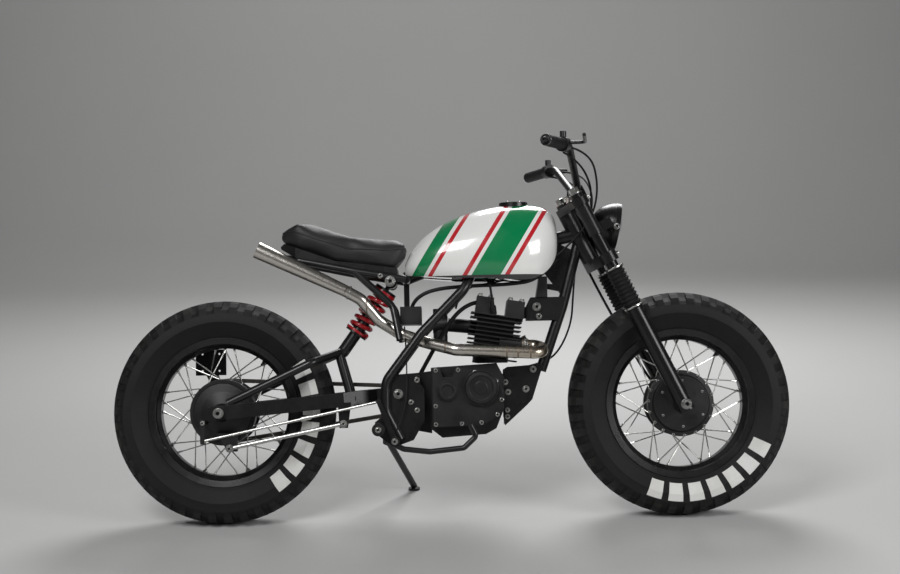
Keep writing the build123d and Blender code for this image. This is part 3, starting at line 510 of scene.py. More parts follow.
@dataclass(frozen=True)
class TyreRubber(Finish):
    """Tyre rubber with moulded rings, sipes across the crown with painted shade in them, and pale dust on the
    tread.
    """

    depth: float = 0.003
    cloud: float = 18.0
    # How far ahead the axle is on the machine, in millimetres
    reach: float = WHEEL_REACH
    lugs: int = 42
    lug_slant: float = 9.0
    sipe_share: float = 0.13
    tread_radius: float = 0.296
    crown_radius: float = 0.309
    crown_half_width: float = 0.037
    groove_left: float = 0.021
    groove_reach: float = 0.0022
    rings: tuple[float, ...] = (0.2215, 0.2245, 0.262, 0.2675)
    ring_reach: float = 0.0011
    # The painted shade in the sipes and the crown's grooves
    shade: Colour = (0.004, 0.004, 0.004)
    dust_start: float = 0.42
    dust_rise: float = 3.0
    wall_dust: float = 0.05
    tread_dust: float = 0.30
    grain_height: float = 0.06
    ring_height: float = 0.4
    tread_roughness: float = 0.12

    def material(self) -> bpy.types.Material:
        """Build the tyre's material about its own axle.

        Returns:
            The material.
        """
        board = Board(self.name)
        spot = board.upright((self.reach, 0.0, AXLE_HEIGHT))
        forward, left, up = board.axes(spot)
        radius = board.maths("SQRT", forward * forward + up * up)
        turn = board.maths("ARCTAN2", up, forward) * (self.lugs / math.tau)
        crown = radius.above(self.crown_radius)
        middle = left.size().below(self.crown_half_width)
        sipes = (turn + left.size() * self.lug_slant).wave().below(self.sipe_share) * crown * middle
        groove = left.size().near(self.groove_left, self.groove_reach) * crown
        cut = board.maths("MAXIMUM", sipes, groove)
        rings = board.lines(radius, self.rings, self.ring_reach)
        grain = board.noise(spot, self.grain)
        cloud = board.noise(spot, self.cloud, 5.0, 0.65)
        tread = radius.above(self.tread_radius)
        dusty = ((cloud - self.dust_start) * self.dust_rise).clear()
        dust = dusty * (self.wall_dust + tread * self.tread_dust)
        # Painted shade: the sipes and grooves lose their dust and turn near-black
        colour = board.blend(dust * (1.0 - cut), self.colour, self.worn)
        colour = board.blend(cut, colour, self.shade)
        height = grain * self.grain_height - cut + rings * self.ring_height
        roughness = self.roughness + (grain - 0.5) * self.spread + tread * self.tread_roughness
        board.finish(colour, roughness.clear(), height, Relief(self.depth), Specular_IOR_Level=self.glint)
        return board.material


GREEN: Colour = (0.0, 0.20, 0.065)
RED: Colour = (0.50, 0.012, 0.02)


@dataclass(frozen=True)
class TankLacquer(Finish):
    """White lacquer with straight slanted bands of green and red, and painted shade on the underside below
    its lower edge.
    """

    wear: float = 0.12
    depth: float = 0.00002
    cloud: float = 9.0
    coat_roughness: float = 0.04
    slant: float = 0.62
    # Each band's start and end along the machine at the ground, and its paint
    bands: tuple[tuple[float, float, Colour], ...] = (
        (-0.548, -0.512, GREEN),
        (-0.500, -0.487, RED),
        (-0.400, -0.386, RED),
        (-0.374, -0.290, GREEN),
        (-0.278, -0.264, RED),
    )
    # Painted shade: the tank below this height takes a dark colour
    painted_shade_top: float = 0.7035
    painted_shade_colour: Colour = (0.02, 0.02, 0.02)

    def material(self) -> bpy.types.Material:
        """Build the tank's material on the upright machine's axes.

        Returns:
            The material.
        """
        board = Board(self.name)
        spot = board.upright()
        forward, _, up = board.axes(spot)
        slanted = forward - up * self.slant
        colour: Term | Colour = self.colour
        for start, end, paint in self.bands:
            colour = board.blend(slanted.above(start) * slanted.below(end), colour, paint)
        # Painted shade: dark colour on the tank's underside below the given height
        colour = board.blend(up.below(self.painted_shade_top), colour, self.painted_shade_colour)
        cloud = board.noise(spot, self.cloud, 3.0)
        colour = board.blend((cloud - 0.5).clear() * self.wear, colour, self.worn)
        fine = board.noise(board.place(), self.grain)
        roughness = self.roughness + (fine - 0.5) * self.spread
        board.finish(
            colour, roughness.clear(), fine, Relief(self.depth),
            Coat_Weight=self.coat, Coat_Roughness=self.coat_roughness,
        )
        return board.material


@dataclass(frozen=True)
class GrainedVinyl(Finish):
    """Charcoal vinyl with a leather grain and soft creases."""

    wear: float = 0.8
    grain: float = 620.0
    grain_middle: float = 0.3
    grain_height: float = 0.4
    depth: float = 0.0006
    cloud: float = 10.0
    folds: float = 26.0
    fold_stretch: Place = (1.0, 0.35, 1.0)
    fold_height: float = 0.8

    def material(self) -> bpy.types.Material:
        """Build the vinyl's material.

        Returns:
            The material.
        """
        board = Board(self.name)
        spot = board.place()
        cells = board.cells(spot, self.grain)
        folds = board.noise(board.place(self.fold_stretch), self.folds, 5.0, 0.6)
        cloud = board.noise(spot, self.cloud, 3.0)
        colour = board.blend((cloud * self.wear).clear(), self.colour, self.worn)
        roughness = self.roughness + (cells - self.grain_middle) * self.spread
        height = cells * self.grain_height + folds * self.fold_height
        board.finish(colour, roughness.clear(), height, Relief(self.depth), Specular_IOR_Level=self.glint)
        return board.material


@dataclass(frozen=True)
class HeatedSteel(Finish):
    """Brushed stainless steel, straw tinted towards the port, with weld beads."""

    wear: float = 0.75
    depth: float = 0.0005
    cloud: float = 22.0
    heat_start: float = 0.02
    heat_rise: float = 3.2
    heat_patches: float = 0.6
    brushing_height: float = 0.3
    beads: tuple[float, ...] = (0.158, 0.190, 0.226, -0.018, -0.240)
    bead_reach: float = 0.0022
    bead_colour: Colour = (0.16, 0.11, 0.07)
    bead_stain: float = 0.7
    bead_roughness: float = 0.2
    bead_height: float = 2.0

    def material(self) -> bpy.types.Material:
        """Build the exhaust's material along the machine.

        Returns:
            The material.
        """
        board = Board(self.name)
        spot = board.upright()
        forward = board.axes(spot)[0]
        brushed = board.noise(board.place(self.stretch), self.grain)
        cloud = board.noise(spot, self.cloud, 4.0)
        heat = (forward - self.heat_start) * self.heat_rise + (cloud - 0.5) * self.heat_patches
        bead = board.lines(forward, self.beads, self.bead_reach).clear()
        colour = board.blend(heat.clear() * self.wear, self.colour, self.worn)
        colour = board.blend(bead * self.bead_stain, colour, self.bead_colour)
        roughness = self.roughness + (brushed - 0.5) * self.spread + bead * self.bead_roughness
        height = brushed * self.brushing_height + bead * self.bead_height
        board.finish(colour, roughness.clear(), height, Relief(self.depth), Metallic=self.metal)
        return board.material


@dataclass(frozen=True)
class RibbedRubber(Finish):
    """Rubber with fine ribs round the grips and pegs, which run across the machine."""

    depth: float = 0.0012
    cloud: float = 16.0
    ribs: float = 170.0
    rib_gloss: float = 0.06
    grain_height: float = 0.1

    def material(self) -> bpy.types.Material:
        """Build the ribbed rubber's material on the upright machine.

        Returns:
            The material.
        """
        board = Board(self.name)
        spot = board.upright()
        left = board.axes(spot)[1]
        rib = (left * self.ribs).wave() * 2.0
        grain = board.noise(spot, self.grain)
        cloud = board.noise(spot, self.cloud, 4.0)
        colour = board.blend((cloud * rib).clear() * self.wear, self.colour, self.worn)
        roughness = self.roughness + (grain - 0.5) * self.spread - rib * self.rib_gloss
        height = rib + grain * self.grain_height
        relief = Relief(self.depth, self.edge)
        board.finish(colour, roughness.clear(), height, relief, Specular_IOR_Level=self.glint)
        return board.material


@dataclass(frozen=True)
class LampGlass(Finish):
    """Clear lamp glass over a fluted reflector, with painted shade at the edges of each flute."""

    depth: float = 0.0012
    flutes: float = 120.0
    flute_roughness: float = 0.08
    bars: float = 60.0

    def material(self) -> bpy.types.Material:
        """Build the lens's material with its flutes.

        Returns:
            The material.
        """
        board = Board(self.name)
        _, left, up = board.axes(board.upright(LAMP_CENTRE))
        flutes = (left * self.flutes).wave()
        bars = (up * self.bars).wave()
        # Painted shade: each flute turns towards the darker colour at its edges
        colour = board.blend(flutes, self.colour, self.worn)
        gloss = (flutes * self.flute_roughness + self.roughness).clear()
        relief = Relief(self.depth)
        board.finish(colour, gloss, flutes + bars, relief, Metallic=self.metal, Coat_Weight=self.coat)
        return board.material


BLACK = Finish(
    "satin_black_coat", colour=(0.006, 0.006, 0.0065), worn=(0.020, 0.0195, 0.019), wear=0.30,
    roughness=0.30, spread=0.16, grain=700.0, depth=0.00006, glint=0.45,
)
CAST = Finish(
    "black_casting", colour=(0.006, 0.006, 0.0066), worn=(0.024, 0.023, 0.022), wear=0.40,
    roughness=0.42, spread=0.22, grain=1500.0, depth=0.00022, glint=0.4, edge=0.003,
)
SLIDER = Finish(
    "black_slider", colour=(0.005, 0.005, 0.006), worn=(0.014, 0.014, 0.014), wear=0.20,
    roughness=0.27, spread=0.10, grain=600.0, depth=0.00004, glint=0.4,
)
RUBBER = Finish(
    "moulded_rubber", colour=(0.006, 0.006, 0.006), worn=(0.018, 0.0175, 0.017), wear=0.30,
    roughness=0.58, spread=0.16, grain=1300.0, depth=0.00018, glint=0.3,
)
RIBBED = RibbedRubber(
    "ribbed_rubber", colour=(0.006, 0.006, 0.006), worn=(0.020, 0.0195, 0.019), wear=0.40,
    roughness=0.60, spread=0.16, grain=1300.0, glint=0.3,
)
STEEL = Finish(
    "zinc_plated_steel", colour=(0.62, 0.62, 0.60), worn=(0.36, 0.35, 0.33), wear=0.35,
    roughness=0.27, spread=0.16, grain=900.0, depth=0.00006, metal=1.0,
)
CHAIN_STEEL = Finish(
    "oiled_chain", colour=(0.12, 0.11, 0.10), worn=(0.03, 0.027, 0.024), wear=0.6,
    roughness=0.38, spread=0.2, grain=900.0, depth=0.0001, metal=1.0,
)
SPRING_RED = Finish(
    "red_powder_coat", colour=(0.42, 0.010, 0.016), worn=(0.24, 0.01, 0.012), wear=0.3,
    roughness=0.27, spread=0.1, grain=700.0, depth=0.00004, coat=0.6,
)
WHITE_MARK = Finish(
    "white_moulding", colour=(0.72, 0.72, 0.70), worn=(0.50, 0.49, 0.46), wear=0.4,
    roughness=0.58, spread=0.12, grain=1200.0, depth=0.0001,
)
TANK = TankLacquer(
    "banded_tank_lacquer", colour=(0.80, 0.80, 0.78), worn=(0.62, 0.61, 0.57),
    roughness=0.20, spread=0.04, grain=500.0, coat=0.9,
)
VINYL = GrainedVinyl(
    "charcoal_vinyl", colour=(0.010, 0.010, 0.011), worn=(0.020, 0.020, 0.022),
    roughness=0.46, spread=0.2, glint=0.4,
)
EXHAUST = HeatedSteel(
    "brushed_stainless", colour=(0.60, 0.57, 0.53), worn=(0.50, 0.40, 0.27),
    roughness=0.27, spread=0.14, grain=420.0, stretch=(0.25, 3.0, 3.0), metal=1.0,
)
# The lens's worn colour is the painted shade at the edges of its flutes
LENS = LampGlass(
    "fluted_lamp_glass", colour=(0.62, 0.66, 0.70), worn=(0.30, 0.33, 0.37),
    roughness=0.06, metal=0.75, coat=1.0,
)
FRONT_RUBBER, REAR_RUBBER = (
    TyreRubber(
        f"{end}_tyre_rubber", colour=(0.006, 0.006, 0.006), worn=(0.060, 0.056, 0.050),
        roughness=0.62, spread=0.16, glint=0.3, reach=reach,
    )
    for end, reach in (("front", WHEEL_REACH), ("rear", -WHEEL_REACH))
)


class Workshop:
    """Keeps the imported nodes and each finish's material, and hands pieces to their bodies."""

    def __init__(self, frame: dict) -> None:
        """Keep the loaded frame's nodes."""
        self.nodes = frame["nodes"]
        self.shelf: dict[str, bpy.types.Material] = {}

    def paint(self, finish: Finish) -> bpy.types.Material:
        """Give the material of a finish, made on first use.

        Args:
            finish: The finish.

        Returns:
            Its material.
        """
        if finish.name not in self.shelf:
            self.shelf[finish.name] = finish.material()
        return self.shelf[finish.name]

    def dress(self, finish: Finish, *names: str) -> None:
        """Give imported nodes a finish.

        Args:
            finish: The finish.
            names: The nodes' names.
        """
        for name in names:
            node = self.nodes[name]
            if not node.material_slots:
                node.data.materials.append(self.paint(finish))
            for place in node.material_slots:
                place.material = self.paint(finish)

    def hand_over(self, piece: bpy.types.Object, body: Body, finish: Finish, slot: str) -> None:
        """Finish a new piece and let it ride on its body.

        Args:
            piece: The piece, in place.
            body: What it rides on.
            finish: Its finish.
            slot: The record's material slot; it is not used.
        """
        if piece.data.materials:
            piece.data.materials[0] = self.paint(finish)
        else:
            piece.data.materials.append(self.paint(finish))
        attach(piece, body.value)
        log.info("%s rides on %s", piece.name, body.value)


@dataclass(frozen=True)
class RoundCover:
    """A turned cover, in millimetres: a disc whose top is inset and raised step by step."""

    name: str
    radius: float
    # How far in and how far up each step goes; the first is the disc's own height
    steps: tuple[tuple[float, float], ...]
    foot: Place
    way: Place


@dataclass
class FastenerKit:
    """Bolts, bands and turned covers, modelled at the origin and put where they sit.

    A head and a band are modelled one across, so their sizes are shares of the width.
    """

    shop: Workshop
    washer_sides: int = 20
    washer_radius: float = 0.64
    washer_height: float = 0.12
    top: float = 0.6
    head_height: float = 0.5
    chamfer: float = 0.07
    hex_rise: float = 0.06
    dome_rise: float = 0.12
    rim: float = 0.14
    socket_wall: float = 0.02
    socket_depth: float = 0.34
    head_crease: float = math.radians(35.0)
    band_sides: int = 40
    band_height: float = 0.09
    band_thickness: float = 0.02
    band_bevel: float = 0.008
    cover_sides: int = 48

    def head(self, kind: Head) -> bpy.types.Object:
        """Model a fastener's head with a dark socket, on its washer.

        Args:
            kind: Whether it is a hexagon or a domed cap.

        Returns:
            The head.
        """
        bpy.ops.mesh.primitive_cylinder_add(
            vertices=self.washer_sides, radius=self.washer_radius, depth=self.washer_height,
            location=(0, 0, self.washer_height / 2),
        )
        washer = bpy.context.active_object
        washer.data.materials.append(self.shop.paint(STEEL))
        settle(washer)
        bpy.ops.mesh.primitive_cylinder_add(
            vertices=kind.value, radius=0.5, depth=self.head_height,
            location=(0, 0, self.top - self.head_height / 2),
        )
        piece = bpy.context.active_object
        piece.data.materials.append(self.shop.paint(STEEL))
        piece.data.materials.append(self.shop.paint(BLACK))
        settle(piece)
        select_faces(piece, is_top)
        rise = self.hex_rise if kind is Head.HEX else self.dome_rise
        bpy.ops.mesh.inset(thickness=self.chamfer, depth=rise)
        bpy.ops.mesh.inset(thickness=self.rim, depth=0.0)
        bpy.ops.mesh.inset(thickness=self.socket_wall, depth=-self.socket_depth)
        bpy.ops.mesh.select_more(use_face_step=False)
        piece.active_material_index = 1
        bpy.ops.object.material_slot_assign()
        join((piece, washer), "fastener")
        bpy.ops.object.shade_smooth_by_angle(angle=self.head_crease)
        return piece

    def band(self) -> bpy.types.Object:
        """Model a clamp's band.

        Returns:
            The band.
        """
        bpy.ops.mesh.primitive_cylinder_add(
            vertices=self.band_sides, radius=0.5, depth=self.band_height, end_fill_type="NOTHING"
        )
        piece = bpy.context.active_object
        solid = piece.modifiers.new("band", "SOLIDIFY")
        solid.thickness = self.band_thickness
        solid.offset = 1.0
        bevel = piece.modifiers.new("edge", "BEVEL")
        bevel.width = self.band_bevel
        apply_modifiers(piece)
        bpy.ops.object.shade_smooth_by_angle(angle=CREASE)
        return piece

    def turned(self, cover: RoundCover) -> bpy.types.Object:
        """Model a turned cover in its place.

        Args:
            cover: Its sizes and place.

        Returns:
            The cover.
        """
        height = cover.steps[0][1]
        bpy.ops.mesh.primitive_cylinder_add(
            vertices=self.cover_sides, radius=cover.radius, depth=height, location=(0, 0, height / 2)
        )
        piece = bpy.context.active_object
        piece.name = cover.name
        settle(piece)
        select_faces(piece, is_top)
        for inset, rise in cover.steps[1:]:
            bpy.ops.mesh.inset(thickness=inset, depth=rise)
        bpy.ops.object.mode_set(mode="OBJECT")
        piece.data.transform(facing(parked(cover.foot), parked_way(cover.way), MM))
        bpy.ops.object.shade_smooth_by_angle(angle=CREASE)
        return piece

    def matrices(self, places: Sequence[Seating]) -> list[Matrix]:
        """Give the matrix of each seating."""
        return [facing(parked(place), parked_way(way), width * MM) for place, way, width in places]

    def heads(self, name: str, kind: Head, places: Sequence[Seating]) -> bpy.types.Object:
        """Put one kind of head at every seating, as one piece."""
        return array_of(self.head(kind), self.matrices(places), name)

    def bands(self, name: str, places: Sequence[Seating]) -> bpy.types.Object:
        """Put a band at every seating, as one piece."""
        return array_of(self.band(), self.matrices(places), name)


@dataclass(frozen=True)
class SoftLamp:
    """One soft square lamp, in metres and watts."""

    name: str
    place: Place
    target: Place
    size: float
    power: float

    def build(self) -> None:
        """Add the lamp, which lights the scene and isn't seen itself."""
        data = bpy.data.lights.new(self.name, "AREA")
        data.size = self.size
        data.energy = self.power
        lamp = bpy.data.objects.new(self.name, data)
        lamp.matrix_world = facing(Vector(self.place), Vector(self.place) - Vector(self.target))
        lamp.visible_camera = False
        bpy.context.collection.objects.link(lamp)


@dataclass
class Studio:
    """The pale floor, the lamps and the camera that stands where the photographer did."""

    camera_place: Place = (-0.033, -4.351, 1.243)
    yaw: float = math.radians(-0.45)
    pitch: float = math.radians(-7.66)
    roll: float = math.radians(-1.07)
    sensor: float = 36.0
    focal_pixels: float = 1467.4
    photo_width: float = 900.0
    floor_size: tuple[float, float] = (24.0, 16.0)
    floor_drop: float = 0.0005
    wall_height: float = 9.0
    curve: float = 3.0
    curve_steps: int = 12
    farthest_view: float = 60.0
    floor_colour: Colour = (0.50, 0.50, 0.495)
    floor_shade: float = 0.94
    floor_roughness: float = 0.75
    floor_relief: Relief = Relief(0.0002)
    sky: tuple[float, float, float, float] = (0.80, 0.82, 0.85, 1.0)
    sky_strength: float = 0.30
    lamps: tuple[SoftLamp, ...] = (
        SoftLamp("key", place=(-1.6, -3.2, 3.6), target=(0.0, 0.0, 0.4), size=1.8, power=120.0),
        SoftLamp("fill", place=(3.2, -2.6, 1.9), target=(0.2, 0.0, 0.5), size=1.6, power=70.0),
        SoftLamp("rim", place=(0.6, 2.8, 3.2), target=(0.0, 0.0, 0.7), size=2.0, power=120.0),
        SoftLamp("wall", place=(0.0, 3.4, 5.0), target=(0.0, 8.0, 1.6), size=5.0, power=120.0),
    )

    def camera(self) -> None:
        """Set up the camera of the fitted view."""
        right = Vector((math.cos(self.yaw), math.sin(self.yaw), 0.0))
        ahead = Vector((
            -math.sin(self.yaw) * math.cos(self.pitch),
            math.cos(self.yaw) * math.cos(self.pitch),
            math.sin(self.pitch),
        ))
        above = right.cross(ahead)
        turned_right = right * math.cos(self.roll) + above * math.sin(self.roll)
        turned_above = above * math.cos(self.roll) - right * math.sin(self.roll)
        data = bpy.data.cameras.new("view")
        data.sensor_width = self.sensor
        data.sensor_fit = "HORIZONTAL"
        data.lens = self.sensor * self.focal_pixels / self.photo_width
        data.clip_end = self.farthest_view
        camera = bpy.data.objects.new("view", data)
        bpy.context.collection.objects.link(camera)
        axes = Matrix((turned_right, turned_above, -ahead)).transposed().to_4x4()
        camera.matrix_world = Matrix.Translation(self.camera_place) @ axes
        bpy.context.scene.camera = camera

    def backdrop(self) -> None:
        """Model the floor that curves up into the wall behind."""
        bpy.ops.mesh.primitive_plane_add(size=1.0, location=(0, 0, -self.floor_drop))
        sweep = bpy.context.active_object
        sweep.name = "studio_sweep"
        sweep.scale = (*self.floor_size, 1)
        settle(sweep)
        bpy.context.tool_settings.mesh_select_mode = (False, True, False)
        mesh = sweep.data
        for vertex in mesh.vertices:
            vertex.select = vertex.co.y > 0
        for edge in mesh.edges:
            edge.select = all(mesh.vertices[index].select for index in edge.vertices)
        bpy.ops.object.mode_set(mode="EDIT")
        bpy.ops.mesh.extrude_region_move(TRANSFORM_OT_translate={"value": (0, 0, self.wall_height)})
        bpy.ops.object.mode_set(mode="OBJECT")
        bevel = sweep.modifiers.new("curve", "BEVEL")
        bevel.width = self.curve
        bevel.segments = self.curve_steps
        apply_modifiers(sweep)
        bpy.ops.object.shade_smooth()
        sweep.data.materials.append(self.floor_material())

    def floor_material(self) -> bpy.types.Material:
        """Build the floor's pale, slightly cloudy finish.

        Returns:
            The material.
        """
        board = Board("pale_floor")
        cloud = board.noise(board.place(), 0.8, 4.0)
        speck = board.noise(board.place(), 260.0)
        shade = tuple(self.floor_shade * part for part in self.floor_colour)
        colour = board.blend(cloud, self.floor_colour, shade)
        board.finish(colour, self.floor_roughness + cloud * 0.1, speck, self.floor_relief)
        return board.material

    def world(self) -> None:
        """Give the plain grey surroundings."""
        world = bpy.data.worlds.new("surroundings")
        world.use_nodes = True
        sky = world.node_tree.nodes["Background"]
        sky.inputs["Color"].default_value = self.sky
        sky.inputs["Strength"].default_value = self.sky_strength
        bpy.context.scene.world = world

    def build(self) -> None:
        """Build camera, floor, surroundings and lamps."""
        bpy.context.scene.view_settings.view_transform = "Standard"
        self.camera()
        self.backdrop()
        self.world()
        for lamp in self.lamps:
            lamp.build()


@dataclass
class Assembly:
    shop: Workshop
    kit: FastenerKit
    body: Body

    def add(self, piece: bpy.types.Object, finish: Finish, slot: str) -> None:
        """Let a new piece ride on this sub-assembly's body."""
        self.shop.hand_over(piece, self.body, finish, slot)

    def fasten(self, name: str, kind: Head, places: Sequence[Seating]) -> None:
        """Fit bright steel heads at their seatings."""
        self.add(self.kit.heads(name, kind, places), STEEL, "bright_steel")


@dataclass(frozen=True)
class BoltCircle:
    """A ring of bolts round an axle, in millimetres."""

    radius: float
    left: float
    count: int
    width: float


@dataclass
class Wheel(Assembly):
    """A wire wheel: its tyre's white blocks, spoke ends, hub bolts and valve.

    Angles are in degrees, apart from the valve's, which is in radians.
    """

    name: str
    reach: float
    rubber: TyreRubber
    first_block: float
    hub_bolts: BoltCircle
    blocks: int = 7
    block_pitch: float = 13.0
    block_sweep: float = 9.0
    # How far out of the wheel's plane and at which radius a block's inner, middle and outer edges lie
    block_profile: tuple[tuple[float, float], ...] = ((56.3, 231.0), (75.6, 262.0), (73.1, 282.0))
    block_thickness: float = 1.2
    spokes: int = 18
    spoke_circle: float = 97.7
    spoke_sweep: float = 26.0
    spoke_lay: float = 3.0
    hub_left: float = 44.0
    rim_left: float = 7.0
    rim_radius: float = 184.0
    nipple_sink: float = 0.5
    nipple_sides: int = 8
    nipple_radius: float = 3.6
    nipple_foot: float = 4.0
    nipple_waist: float = 0.8
    nipple_neck: float = 10.0
    nipple_tip: float = 0.6
    nipple_rise: float = 0.8
    spoke_head_share: float = 0.955
    spoke_head_left: float = 48.2
    spoke_head_width: float = 7.0
    valve_angle: float = 0.9
    valve_left: float = -9.0
    # How far along the valve each of its heads sits, and its width
    valve_stack: tuple[tuple[float, float], ...] = ((0.0, 8.0), (5.0, 6.0), (9.0, 6.0))

    def axle(self) -> Vector:
        """Give the wheel's centre on the upright machine."""
        return Vector((self.reach, 0.0, AXLE_HEIGHT))

    def spot(self, radius: float, angle: float, left: float) -> Vector:
        """Give a place round the axle on the upright machine."""
        return self.axle() + Vector((radius * math.cos(angle), left, radius * math.sin(angle)))

    def block(self, number: int, side: int) -> bpy.types.Object:
        """Lay one plain block's sheet on a sidewall.

        Args:
            number: Which block it is, counted round the tyre.
            side: -1 for the right side, 1 for the left.

        Returns:
            The sheet.
        """
        bpy.ops.mesh.primitive_grid_add(x_subdivisions=round(self.block_sweep), y_subdivisions=2, size=1.0)
        sheet = bpy.context.active_object
        start = self.first_block + self.block_pitch * number
        for vertex in sheet.data.vertices:
            angle = math.radians(start + (vertex.co.x + 0.5) * self.block_sweep)
            out, radius = self.block_profile[round((vertex.co.y + 0.5) * 2)]
            vertex.co = parked(self.spot(radius, angle, side * out))
        return sheet

    def sidewall_blocks(self, side: int) -> None:
        """Model the raised plain white blocks on one sidewall.

        Args:
            side: -1 for the right side, 1 for the left.
        """
        sheets = [self.block(number, side) for number in range(self.blocks)]
        piece = join(sheets, f"{self.name}_sidewall_blocks_{'left' if side > 0 else 'right'}")
        solid = piece.modifiers.new("thickness", "SOLIDIFY")
        solid.thickness = self.block_thickness * MM
        solid.offset = 0.0
        bevel = piece.modifiers.new("edge", "BEVEL")
        bevel.width = self.block_thickness * MM / 3
        bevel.segments = 1
        apply_modifiers(piece)
        select_faces(piece, lambda face: True)
        bpy.ops.mesh.normals_make_consistent(inside=False)
        bpy.ops.object.mode_set(mode="OBJECT")
        self.add(piece, WHITE_MARK, "tyre_rubber")

    def nipple(self) -> bpy.types.Object:
        """Model one spoke nipple, waisted, with its foot on the origin.

        Returns:
            The nipple.
        """
        bpy.ops.mesh.primitive_cylinder_add(
            vertices=self.nipple_sides, radius=self.nipple_radius * MM, depth=self.nipple_foot * MM,
            location=(0, 0, self.nipple_foot * MM / 2),
        )
        piece = bpy.context.active_object
        settle(piece)
        select_faces(piece, is_top)
        bpy.ops.mesh.inset(thickness=self.nipple_waist * MM, depth=0.0)
        bpy.ops.mesh.extrude_region_move(TRANSFORM_OT_translate={"value": (0, 0, self.nipple_neck * MM)})
        bpy.ops.mesh.inset(thickness=self.nipple_tip * MM, depth=self.nipple_rise * MM)
        bpy.ops.object.mode_set(mode="OBJECT")
        return piece

    def spoke_ends(self) -> Iterable[tuple[Vector, Vector]]:
        """Follow the spokes round both flanges.

        Yields:
            Each spoke's hub end and rim end on the upright machine.
        """
        for flange in SIDES:
            for number in range(self.spokes):
                angle = math.radians(360 / self.spokes * (number + 0.25 * flange))
                lay = 1 if number % 2 else -1
                turned = angle + math.radians(self.spoke_sweep) * lay
                offset = self.spoke_lay * lay
                yield (
                    self.spot(self.spoke_circle, angle, flange * (self.hub_left + offset)),
                    self.spot(self.rim_radius, turned, flange * (self.rim_left + offset)),
                )

    def spoke_fittings(self) -> None:
        """Fit a nipple at each spoke's rim end and a head at its hub end."""
        matrices = []
        heads = []
        for start, end in self.spoke_ends():
            inward = (start - end).normalized()
            matrices.append(facing(parked(end - inward * self.nipple_sink), parked_way(inward)))
            side = 1 if start.y > 0 else -1
            foot = self.axle() + (start - self.axle()) * self.spoke_head_share
            foot.y = side * self.spoke_head_left
            heads.append((foot, outward(foot), self.spoke_head_width))
        self.add(array_of(self.nipple(), matrices, f"{self.name}_nipples"), STEEL, "bright_steel")
        self.fasten(f"{self.name}_spoke_heads", Head.DOME, heads)

    def bolts(self) -> None:
        """Fit the ring of bolts on the hub."""
        ring = self.hub_bolts
        seatings = []
        for number in range(ring.count):
            spot = self.spot(ring.radius, math.tau * (number + 0.5) / ring.count, ring.left)
            seatings.append((spot, outward(spot), ring.width))
        self.fasten(f"{self.name}_hub_bolts", Head.HEX, seatings)

    def valve(self) -> None:
        """Fit the rubber valve, which points from the rim to the axle."""
        foot = self.spot(self.rim_radius, self.valve_angle, self.valve_left)
        inward = (self.axle() - foot).normalized()
        stack = [(foot + inward * along, inward, width) for along, width in self.valve_stack]
        self.add(self.kit.heads(f"{self.name}_valve", Head.DOME, stack), RUBBER, "black_rubber")

    def build(self) -> None:
        """Dress the wheel's nodes and add its small parts."""
        for finish, node in ((self.rubber, "tyre"), (BLACK, "rim"), (CAST, "hub"), (STEEL, "spokes")):
            self.shop.dress(finish, f"{self.name}_{node}")
        for side in SIDES:
            self.sidewall_blocks(side)
        self.spoke_fittings()
        self.bolts()
        self.valve()


@dataclass
class Cable:
    """A cable on one smooth curve along its route's points. Its diameter is in metres."""

    name: str
    body: Body
    route: tuple[Place, ...]
    diameter: float
    replaced: str | None = None
    # Where it would start and stop bending with the steering; a cable that has them is only made a still
    # mesh, not attached to its body
    turns_from: tuple[Place, Place] | None = None
    order: int = 3
    steps: int = 12
    roundness: int = 3

    def line(self, cable: bpy.types.Object) -> list[Vector]:
        """Follow the cable's curve before it has a thickness.

        Args:
            cable: The bare curve.

        Returns:
            The points that it runs through, in metres.
        """
        mesh = bpy.data.meshes.new_from_object(cable)
        points = [vertex.co.copy() for vertex in mesh.vertices]
        bpy.data.meshes.remove(mesh)
        return points

    def bare(self) -> bpy.types.Object:
        """Lay the curve through the route.

        Returns:
            The curve without a thickness.
        """
        data = bpy.data.curves.new(self.name, "CURVE")
        data.dimensions = "3D"
        spline = data.splines.new("NURBS")
        spline.points.add(len(self.route) - 1)
        for point, place in zip(spline.points, self.route):
            point.co = (*parked(place), 1.0)
        spline.order_u = self.order
        spline.use_endpoint_u = True
        spline.resolution_u = self.steps
        cable = bpy.data.objects.new(self.name, data)
        bpy.context.collection.objects.link(cable)
        return cable

    def build(self, shop: Workshop) -> None:
        """Args:
            shop: The workshop that its rubber comes from.
        """
        cable = self.bare()
        points = self.line(cable)
        length = sum((there - here).length for here, there in zip(points, points[1:]))
        cable.data.bevel_depth = self.diameter / 2
        cable.data.bevel_resolution = self.roundness
        cable.data.use_fill_caps = True
        cable.data.materials.append(shop.paint(RUBBER))
        path = None
        if self.turns_from is None:
            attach(cable, self.body.value)
        else:
            cable = to_mesh(cable)
            start, end = (tuple(parked(place)) for place in self.turns_from)
            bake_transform(cable)
            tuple(start)
            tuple(end)
            path = [tuple(point) for point in points]
        if self.replaced:
            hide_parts(self.replaced)
        tuple(points[0])
        log.info("%s is %.3f m long", self.name, length)


